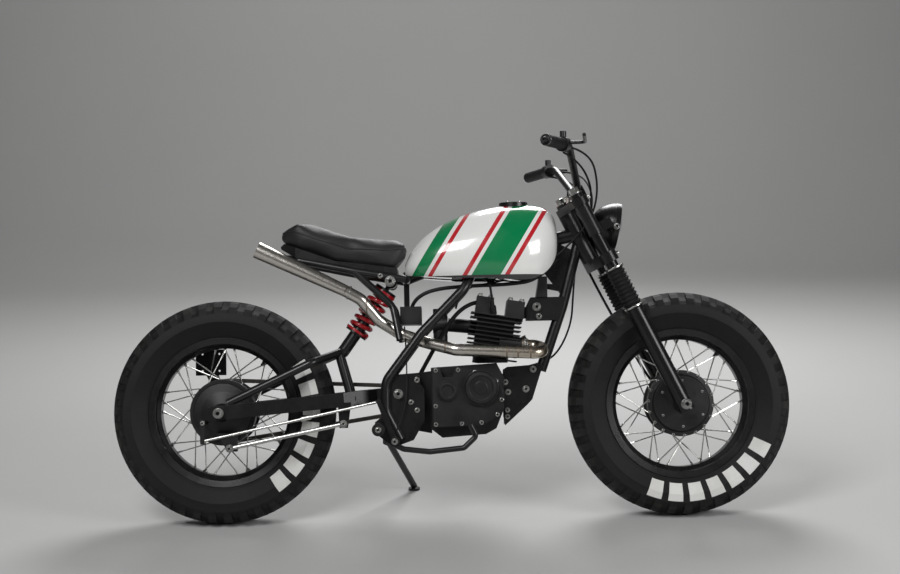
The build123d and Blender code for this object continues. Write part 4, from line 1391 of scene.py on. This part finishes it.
@dataclass
class FrontEnd(Assembly):
    """Fork, yokes, bars and lamp.

    Sizes with up in their names are measured along the fork, those with fore ahead of it.
    """

    spacing: float = 110.0
    clamp_ups: tuple[float, ...] = (312.0, 436.0)
    clamp_width: float = 56.5
    cap_up: float = 675.5
    cap_width: float = 30.0
    stem_fore: float = -38.0
    stem_up: float = 673.5
    stem_width: float = 27.0
    pinch_fore: float = 26.0
    pinch_ups: tuple[float, ...] = (651.0, 471.0)
    pinch_width: float = 11.0
    lamp_bolt: Place = (486.0, 86.2, 838.0)
    lamp_bolt_width: float = 15.0
    bar_bolt_fores: tuple[float, ...] = (7.0, 32.0)
    bar_bolt_left: float = 42.0
    bar_bolt_up: float = 694.5
    bar_bolt_width: float = 8.0
    axle_nut_left: float = 145.5
    axle_nut_width: float = 24.0
    grip_end: Place = (263.0, -GRIP_HALF_SPAN, GRIP_HEIGHT)
    grip_run: Place = (-75.0, -146.0, -5.0)
    plug_width: float = 16.0
    ring_width: float = 31.0

    def clamps(self) -> None:
        """Fit the gaiters' clamps at their ends."""
        places = [
            (on_fork(0, side * self.spacing, up), UP_THE_FORK, self.clamp_width)
            for side in SIDES
            for up in self.clamp_ups
        ]
        self.add(self.kit.bands("gaiter_clamps", places), STEEL, "bright_steel")

    def yoke_bolts(self) -> list[Seating]:
        """Gather the bolts of the yokes, the lamp and the bar's clamps.

        Returns:
            Where each sits.
        """
        bolts: list[Seating] = []
        for side in SIDES:
            for up in self.pinch_ups:
                foot = on_fork(self.pinch_fore, side * self.spacing, up)
                bolts.append((foot, AHEAD_OF_THE_FORK, self.pinch_width))
            lamp_bolt = mirrored(self.lamp_bolt, side)
            bolts.append((lamp_bolt, outward(lamp_bolt), self.lamp_bolt_width))
            for fore in self.bar_bolt_fores:
                foot = on_fork(fore, side * self.bar_bolt_left, self.bar_bolt_up)
                bolts.append((foot, UP_THE_FORK, self.bar_bolt_width))
        return bolts

    def fasteners(self) -> None:
        """Fit the fork's caps and the yokes', lamp's and axle's bolts."""
        caps = [(on_fork(0, side * self.spacing, self.cap_up), UP_THE_FORK, self.cap_width) for side in SIDES]
        caps.append((on_fork(self.stem_fore, 0, self.stem_up), UP_THE_FORK, self.stem_width))
        nuts = []
        for side in SIDES:
            foot = (WHEEL_REACH, side * self.axle_nut_left, AXLE_HEIGHT)
            nuts.append((foot, outward(foot), self.axle_nut_width))
        self.fasten("fork_caps", Head.HEX, caps)
        self.fasten("yoke_bolts", Head.DOME, self.yoke_bolts())
        self.fasten("front_axle_nuts", Head.HEX, nuts)

    def grip_ends(self) -> None:
        """Fit the dark plugs in the bar's ends and the pale rings round them."""
        run = Vector(self.grip_run).normalized()
        ends = [(mirrored(self.grip_end, side), mirrored(run, side)) for side in (1, -1)]
        plugs = [(place, way, self.plug_width) for place, way in ends]
        rings = [(place, way, self.ring_width) for place, way in ends]
        self.add(self.kit.heads("bar_end_plugs", Head.DOME, plugs), BLACK, "black_paint")
        self.add(self.kit.bands("bar_end_rings", rings), STEEL, "bright_steel")

    def build(self) -> None:
        """Dress the front end and add its small parts."""
        self.shop.dress(SLIDER, "fork_sliders", "fork_tubes")
        self.shop.dress(RUBBER, "fork_gaiters")
        self.shop.dress(RIBBED, "grips")
        self.shop.dress(
            BLACK, "handlebar", "upper_yoke", "steering_stem", "headlight_ears", "headlight_shell",
            "bar_controls",
        )
        self.shop.dress(LENS, "headlight_lens")
        self.shop.dress(STEEL, "front_axle")
        self.shop.dress(CAST, "front_brake_plate")
        self.clamps()
        self.fasteners()
        self.grip_ends()


@dataclass
class Engine(Assembly):
    """The engine's castings, fasteners, plug and pipes."""

    # Each mount bolt's place and width
    mount_bolts: tuple[tuple[Place, float], ...] = (
        ((155, -42, 394), 14), ((163, -42, 365), 14), ((215, -42, 373), 16), ((237, -42, 430), 16),
        ((160, -42, 313), 12), ((160, -42, 294), 12), ((253, -21.5, 612), 20), ((259, -21.5, 584), 14),
        ((155, 42, 394), 14), ((215, 42, 373), 16), ((237, 42, 430), 16), ((253, 21.5, 612), 20),
    )
    cover_screws: tuple[Place, ...] = (
        (-48, -116, 278), (26, -116, 279), (82, -116, 281), (128, -116, 303), (141, -116, 345),
        (126, -116, 398), (66, -116, 425), (18, -116, 432), (-46, -116, 432), (-48, -116, 330),
        (132, 122, 390), (134, 122, 318), (82, 122, 294), (30, 122, 300), (-30, 122, 318),
        (-70, 122, 392), (10, 122, 404), (82, 122, 410),
    )
    cover_screw_width: float = 10.0
    tilt: float = math.radians(9.0)
    cylinder_foot: Place = (112.0, 0.0, 445.0)
    head_top: float = 195.0
    head_bolt_fores: tuple[float, ...] = (-55.0, -24.0, 34.0, 68.0)
    head_bolt_left: float = 38.0
    head_bolt_width: float = 12.0
    plug_cap: RoundCover = RoundCover(
        "plug_cap", 9.5, ((0, 14), (0, 10), (1.5, 1.5), (2.0, 0.0), (0.0, 16), (0.8, 2.0)),
        foot=(126, -47, 592), way=(-0.12, -0.30, 0.94),
    )
    round_covers: tuple[RoundCover, ...] = (
        RoundCover(
            "clutch_boss", 47.0, ((0, 1.5), (3, 4.0), (9, 1.2), (1.6, -2.4), (14, 0.0), (1.5, 1.6)),
            foot=(82, -128, 380), way=RIGHT,
        ),
        RoundCover(
            "gear_boss", 26.0, ((0, 1.2), (2.2, 2.6), (6, 0.0), (1.5, -2.6)),
            foot=(-14, -121, 372), way=RIGHT,
        ),
        RoundCover(
            "generator_boss", 50.0, ((0, 1.5), (3, 4.0), (12, 0.0), (2, -2.0), (14, 0.0), (2, 2.4)),
            foot=(82, 122, 352), way=LEFT,
        ),
    )
    # Two at the port, one at the silencer's joint and one on the pipe below it
    pipe_clamps: tuple[Seating, ...] = (
        ((214, -42, 500), FORWARD, 56.0),
        ((221, -42, 499.6), FORWARD, 40.0),
        ((-290, -114, 659), (-0.94, -0.11, 0.33), 40.0),
        ((-206, -92, 578), (-0.62, -0.23, 0.75), 37.0),
    )
    port_nuts: tuple[Seating, ...] = (((222, -64, 500), FORWARD, 9.0), ((222, -20, 500), FORWARD, 9.0))

    def head_bolts(self) -> list[Seating]:
        """Gather the bolts on top of the tilted cylinder head.

        Returns:
            Where each sits.
        """
        up: Place = (math.sin(self.tilt), 0.0, math.cos(self.tilt))
        foot_x, _, foot_z = self.cylinder_foot
        bolts = []
        for fore in self.head_bolt_fores:
            for side in SIDES:
                place = (
                    foot_x + fore * math.cos(self.tilt) + self.head_top * math.sin(self.tilt),
                    side * self.head_bolt_left,
                    foot_z - fore * math.sin(self.tilt) + self.head_top * math.cos(self.tilt),
                )
                bolts.append((place, up, self.head_bolt_width))
        return bolts

    def fasteners(self) -> None:
        """Fit the bolts of the mounts, the covers and the head."""
        mounts = [(place, outward(place), width) for place, width in self.mount_bolts]
        screws = [(place, outward(place), self.cover_screw_width) for place in self.cover_screws]
        self.fasten("engine_mount_bolts", Head.HEX, mounts)
        self.fasten("cover_screws", Head.DOME, screws)
        self.fasten("head_bolts", Head.HEX, self.head_bolts())

    def build(self) -> None:
        """Dress the engine and add its small parts."""
        self.shop.dress(
            CAST, "crankcase", "clutch_cover", "generator_cover", "cylinder", "cylinder_head", "carburettor",
            "electrics_box", "regulator",
        )
        self.shop.dress(BLACK, "engine_mounts")
        self.shop.dress(EXHAUST, "exhaust_pipe", "muffler")
        self.shop.dress(STEEL, "gear_lever")
        self.fasteners()
        self.add(self.kit.turned(self.plug_cap), RUBBER, "black_rubber")
        for cover in self.round_covers:
            self.add(self.kit.turned(cover), CAST, "black_castings")
        self.add(self.kit.bands("exhaust_clamps", self.pipe_clamps), STEEL, "stainless_steel")
        self.fasten("port_nuts", Head.HEX, self.port_nuts)


@dataclass
class Chassis(Assembly):
    """Frame, swingarm, shock, chain, controls and stand."""

    # Each bolt's place and width
    bolts: tuple[tuple[Place, float], ...] = (
        ((-154, -112, 367), 22), ((-118, -112, 343), 12), ((-101, -112, 320), 12), ((-100, -112, 406), 13),
        ((-172, -105, 690), 24), ((-200, -105, 707), 12), ((-208, -235, 271), 14), ((-165, -158, 234), 15),
        ((-663, -147, 323), 24), ((-633, -145, 223), 13), ((-310, -145, 286), 13), ((-709, -141, 296), 11),
        ((-154, 112, 367), 22), ((-118, 112, 343), 12), ((-100, 112, 406), 13), ((-172, 105, 690), 24),
        ((-663, 147, 323), 24), ((-685, 135, 345), 12),
    )
    # Each sprocket's x, z and pitch radius
    front_sprocket: tuple[float, float, float] = (-62.0, 352.0, 30.5)
    rear_sprocket: tuple[float, float, float] = (-WHEEL_REACH, AXLE_HEIGHT, 91.0)
    arc_steps: int = 60
    chain_pitch: float = 12.7
    chain_left: float = 92.0
    chain_half_width: float = 8.0
    plate_sides: int = 12
    plate_radius: float = 5.4
    plate_middle: float = 2.0
    plate_waist: float = 0.62
    plate_thickness: float = 0.8
    plate_proud: float = 0.1
    plate_overlap: float = 0.5

    def link_plate(self) -> bpy.types.Object:
        """Model one waisted link plate, lying on the origin along x.

        Returns:
            The plate.
        """
        bpy.ops.mesh.primitive_circle_add(
            vertices=self.plate_sides, radius=self.plate_radius * MM, fill_type="NGON"
        )
        piece = bpy.context.active_object
        for vertex in piece.data.vertices:
            end = 1.0 if vertex.co.x >= 0 else -1.0
            if abs(vertex.co.x) < self.plate_middle * MM:
                vertex.co.y *= self.plate_waist
            vertex.co.x += end * self.chain_pitch * MM / 2
        select_faces(piece, lambda face: True)
        bpy.ops.mesh.extrude_region_move(TRANSFORM_OT_translate={"value": (0, 0, self.plate_thickness * MM)})
        bpy.ops.object.mode_set(mode="OBJECT")
        return piece

    def chain_loop(self) -> list[Vector]:
        """Follow the chain round both sprockets.

        Returns:
            The points of the closed loop on the upright machine.
        """
        fx, fz, fr = self.front_sprocket
        rx, rz, rr = self.rear_sprocket
        base = math.atan2(rz - fz, rx - fx)
        spread = math.acos((fr - rr) / math.hypot(rx - fx, rz - fz))
        path: list[Vector] = []
        for x, z, radius, begin, end in (
            (fx, fz, fr, base + spread - math.tau, base - spread),
            (rx, rz, rr, base - spread, base + spread),
        ):
            for step in range(self.arc_steps + 1):
                angle = begin + (end - begin) * step / self.arc_steps
                path.append(Vector((x + radius * math.cos(angle), 0.0, z + radius * math.sin(angle))))
        return path + [path[0]]

    def links(self) -> Iterable[tuple[Vector, Vector]]:
        """Share the chain's loop out into whole links.

        Yields:
            Each link's place and direction on the upright machine.
        """
        path = self.chain_loop()
        lengths = [0.0]
        for here, there in zip(path, path[1:]):
            lengths.append(lengths[-1] + (there - here).length)
        count = round(lengths[-1] / self.chain_pitch)
        index = 0
        for number in range(count):
            goal = lengths[-1] * number / count
            while lengths[index + 1] <= goal:
                index += 1
            run = path[index + 1] - path[index]
            share = (goal - lengths[index]) / run.length
            yield path[index] + run * share, run.normalized()

    def chain(self) -> None:
        """Lay link plates on both faces of the chain, every second pair further out."""
        normal = Vector(LEFT)
        matrices = []
        for number, (place, along) in enumerate(self.links()):
            lift = self.plate_proud + (0.0 if number % 2 else self.plate_overlap)
            outer = self.chain_left + self.chain_half_width + lift - self.plate_thickness
            inner = self.chain_left - self.chain_half_width - lift
            axes = Matrix((along, normal.cross(along), normal)).transposed()
            for left in (outer, inner):
                spot = parked((place.x, left, place.z))
                matrices.append(Matrix.Translation(spot) @ (PARKED.to_3x3() @ axes).to_4x4())
        self.add(array_of(self.link_plate(), matrices, "chain_link_plates"), CHAIN_STEEL, "chain_steel")

    def build(self) -> None:
        """Dress the chassis and add its small parts."""
        self.shop.dress(
            BLACK, "main_frame", "seat_frame", "swingarm", "side_stand", "brake_pedal", "plate_bracket",
            "seat_pan", "shock_body",
        )
        self.shop.dress(CAST, "rear_brake_plate")
        self.shop.dress(SPRING_RED, "shock_spring")
        self.shop.dress(STEEL, "rear_axle", "brake_rods")
        self.shop.dress(CHAIN_STEEL, "chain")
        self.shop.dress(RIBBED, "foot_pegs")
        seatings = [(place, outward(place), width) for place, width in self.bolts]
        self.fasten("chassis_bolts", Head.HEX, seatings)
        self.chain()


@dataclass
class TankAndSeat(Assembly):
    """The tank with its cap, and the padded seat. Sizes of padding and piping are in metres."""

    cap_centre: Place = (192.0, 0.0, 920.2)
    cap_screws: int = 6
    cap_screw_circle: float = 34.0
    cap_screw_sink: float = 0.5
    cap_screw_width: float = 6.0
    merge_reach: float = 0.0001
    corner: float = 0.020
    corner_steps: int = 4
    voxel: float = 0.005
    shrink: float = 0.0015
    softness: float = 0.5
    softening: int = 6
    frames: int = 20
    pressure: float = 4.0
    quality: int = 5
    farthest_move: float = 0.012
    calming: int = 44
    padding: float = 0.85
    # The piping's way from the front to the back of the seat along its right side
    edge: tuple[Place, ...] = (
        (-112, 0, 786), (-116, -66, 786), (-190, -90, 784), (-291, -99, 790), (-380, -100, 816),
        (-440, -96, 838), (-484, -74, 842), (-497, 0, 842),
    )
    stitches: int = 60
    piping_radius: float = 0.0022
    piping_roundness: int = 2

    def screws(self) -> None:
        """Fit the screws round the tank's cap."""
        x, y, z = self.cap_centre
        seatings = []
        for number in range(self.cap_screws):
            angle = math.tau * number / self.cap_screws
            ahead = self.cap_screw_circle * math.cos(angle)
            aside = self.cap_screw_circle * math.sin(angle)
            foot = (x + ahead, y + aside, z - self.cap_screw_sink)
            seatings.append((foot, UP, self.cap_screw_width))
        self.fasten("cap_screws", Head.DOME, seatings)

    def seat_copy(self) -> bpy.types.Object:
        """Copy the seat's node and merge its loose triangles.

        Returns:
            The copy, which has no parent.
        """
        source = self.shop.nodes["seat"]
        piece = source.copy()
        piece.data = source.data.copy()
        piece.parent = None
        piece.matrix_world = Matrix.Identity(4)
        piece.name = "seat_cushion"
        bpy.context.collection.objects.link(piece)
        activate(piece)
        bpy.ops.object.mode_set(mode="EDIT")
        bpy.ops.mesh.select_all(action="SELECT")
        bpy.ops.mesh.remove_doubles(threshold=self.merge_reach)
        bpy.ops.object.mode_set(mode="OBJECT")
        return piece

    def soften(self, piece: bpy.types.Object) -> None:
        """Round the seat's corners and give it an even skin.

        Args:
            piece: The merged copy.
        """
        bevel = piece.modifiers.new("round", "BEVEL")
        bevel.width = self.corner
        bevel.segments = self.corner_steps
        bevel.limit_method = "ANGLE"
        bevel.angle_limit = CREASE
        remesh = piece.modifiers.new("skin", "REMESH")
        remesh.mode = "VOXEL"
        remesh.voxel_size = self.voxel
        inset = piece.modifiers.new("smaller", "DISPLACE")
        inset.strength = -self.shrink
        inset.mid_level = 0.0
        smooth = piece.modifiers.new("soft", "SMOOTH")
        smooth.factor = self.softness
        smooth.iterations = self.softening
        apply_modifiers(piece)

    def inflate(self, piece: bpy.types.Object) -> None:
        """Blow the cushion up with cloth, and cap how far each point may go.

        Args:
            piece: The remeshed cushion.
        """
        before = [vertex.co.copy() for vertex in piece.data.vertices]
        cloth = piece.modifiers.new("padding", "CLOTH")
        cloth.settings.use_pressure = True
        cloth.settings.uniform_pressure_force = self.pressure
        cloth.settings.quality = self.quality
        cloth.settings.effector_weights.gravity = 0.0
        cloth.point_cache.frame_start = 1
        cloth.point_cache.frame_end = self.frames
        scene = bpy.context.scene
        for frame in range(1, self.frames + 1):
            scene.frame_set(frame)
        apply_modifiers(piece)
        scene.frame_set(1)
        for vertex, start in zip(piece.data.vertices, before):
            move = vertex.co - start
            if move.length > self.farthest_move:
                vertex.co = start + move.normalized() * self.farthest_move

    def calm(self, piece: bpy.types.Object) -> None:
        """Smooth the padding's creases and refine its skin.

        Args:
            piece: The blown-up cushion.
        """
        calm = piece.modifiers.new("calm", "SMOOTH")
        calm.factor = self.softness
        calm.iterations = self.calming
        finer = piece.modifiers.new("finer", "SUBSURF")
        finer.levels = 1
        finer.render_levels = 1
        apply_modifiers(piece)
        bpy.ops.object.shade_smooth()

    def between(self, share: float) -> Place:
        """Give a place on the piping's way.

        Args:
            share: How far along it is, from 0 at the front to 1 at the back.

        Returns:
            The place on the upright machine.
        """
        spans = len(self.edge) - 1
        step = min(int(share * spans), spans - 1)
        here, there = Vector(self.edge[step]), Vector(self.edge[step + 1])
        return tuple(here.lerp(there, share * spans - step))

    def piping(self, cushion: bpy.types.Object) -> None:
        """Lay the piping that runs round the cushion under its top.

        Args:
            cushion: The finished cushion.
        """
        one_side = [self.between(number / self.stitches) for number in range(self.stitches + 1)]
        around = one_side + [mirrored(place, -1) for place in reversed(one_side)]
        data = bpy.data.curves.new("seat_piping", "CURVE")
        data.dimensions = "3D"
        spline = data.splines.new("POLY")
        spline.points.add(len(around) - 1)
        spline.use_cyclic_u = True
        for point, place in zip(spline.points, around):
            spot = cushion.closest_point_on_mesh(parked(place))[1]
            point.co = (*spot, 1.0)
        data.bevel_depth = self.piping_radius
        data.bevel_resolution = self.piping_roundness
        curve = bpy.data.objects.new("seat_piping", data)
        bpy.context.collection.objects.link(curve)
        self.add(to_mesh(curve), VINYL, "seat_vinyl")

    def seat(self) -> None:
        """Pad the seat: a remeshed copy of its solid, blown up by cloth and smoothed."""
        piece = self.seat_copy()
        self.soften(piece)
        self.inflate(piece)
        self.calm(piece)
        self.add(piece, VINYL, "seat_vinyl")
        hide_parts("seat")
        self.piping(piece)

    def build(self) -> None:
        """Dress the tank and make the seat."""
        self.shop.dress(TANK, "fuel_tank")
        self.shop.dress(BLACK, "fuel_cap")
        self.screws()
        self.seat()


CABLES = (
    Cable("front_brake_cable", Body.STEERING, (
        (333.7, 281.6, 1043.8), (381.7, 195.6, 1027.8), on_fork(-34, 146, 630), on_fork(-42, 132, 420),
        on_fork(-38, 114, 250), on_fork(-34, 96, 120), (596, 78, 391),
    ), 0.008, replaced="front_cables"),
    Cable("breather_pipe", Body.FRAME, (
        (79, -30, 628), (30, -42, 620), (-48, -40, 500), (-90, -36, 424),
    ), 0.012, replaced="breather_hose"),
    Cable("throttle_cable", Body.STEERING, (
        (330, -272, 1046), (402, -200, 1040), (436, -92, 960), (420, -70, 868), (352, -52, 790),
        (250, -34, 706), (120, -32, 684), (30, -20, 668), (16, -4, 612),
    ), 0.006, turns_from=((420, -70, 868), (310, -44, 750))),
    Cable("clutch_cable", Body.STEERING, (
        (330, 272, 1046), (404, 196, 1040), (440, 84, 960), (424, 70, 868), (376, 46, 740), (366, 36, 650),
        (358, 36, 556), (312, 52, 466), (250, 74, 442), (180, 94, 430), (128, 96, 402),
    ), 0.006, turns_from=((424, 70, 868), (345, 40, 680))),
    Cable("plug_lead", Body.FRAME, (
        (121, -60, 634), (118, -68, 668), (112, -58, 690), (96, -26, 700),
    ), 0.007),
    Cable("wiring_loom", Body.FRAME, (
        (318, -24, 752), (262, -34, 690), (170, -36, 678), (60, -44, 676), (-50, -52, 668), (-104, -44, 640),
        (-112, -30, 617),
    ), 0.011),
    Cable("right_switch_lead", Body.STEERING, (
        (322, -262, 1030), (372, -176, 1018), (416, -84, 960), (418, -16, 906), (428, -12, 872),
    ), 0.006),
    Cable("left_switch_lead", Body.STEERING, (
        (322, 262, 1030), (368, 170, 1012), (408, 78, 950), (412, 18, 900), (428, 12, 872),
    ), 0.006),
    Cable("brake_switch_wire", Body.FRAME, (
        (-134, -60, 560), (-130, -100, 500), (-128, -122, 430), (-132, -124, 330), (-160, -130, 262),
    ), 0.004),
)


def main() -> None:
    """Build the studio, then every sub-assembly in order."""
    logging.basicConfig(level=logging.INFO, format="%(name)s: %(message)s")
    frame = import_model()
    deselect()
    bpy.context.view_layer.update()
    shop = Workshop(frame)
    kit = FastenerKit(shop)
    Studio().build()
    for cable in CABLES:
        cable.build(shop)
    Wheel(
        shop, kit, Body.FRONT_WHEEL, "front", WHEEL_REACH, FRONT_RUBBER,
        first_block=-113.0, hub_bolts=BoltCircle(radius=66.0, left=-81.6, count=6, width=6.0),
    ).build()
    Wheel(
        shop, kit, Body.REAR_WHEEL, "rear", -WHEEL_REACH, REAR_RUBBER,
        first_block=-55.0, hub_bolts=BoltCircle(radius=46.0, left=95.0, count=6, width=13.0),
    ).build()
    FrontEnd(shop, kit, Body.STEERING).build()
    Engine(shop, kit, Body.FRAME).build()
    Chassis(shop, kit, Body.FRAME).build()
    TankAndSeat(shop, kit, Body.FRAME).build()


if __name__ == "__main__":
    main()
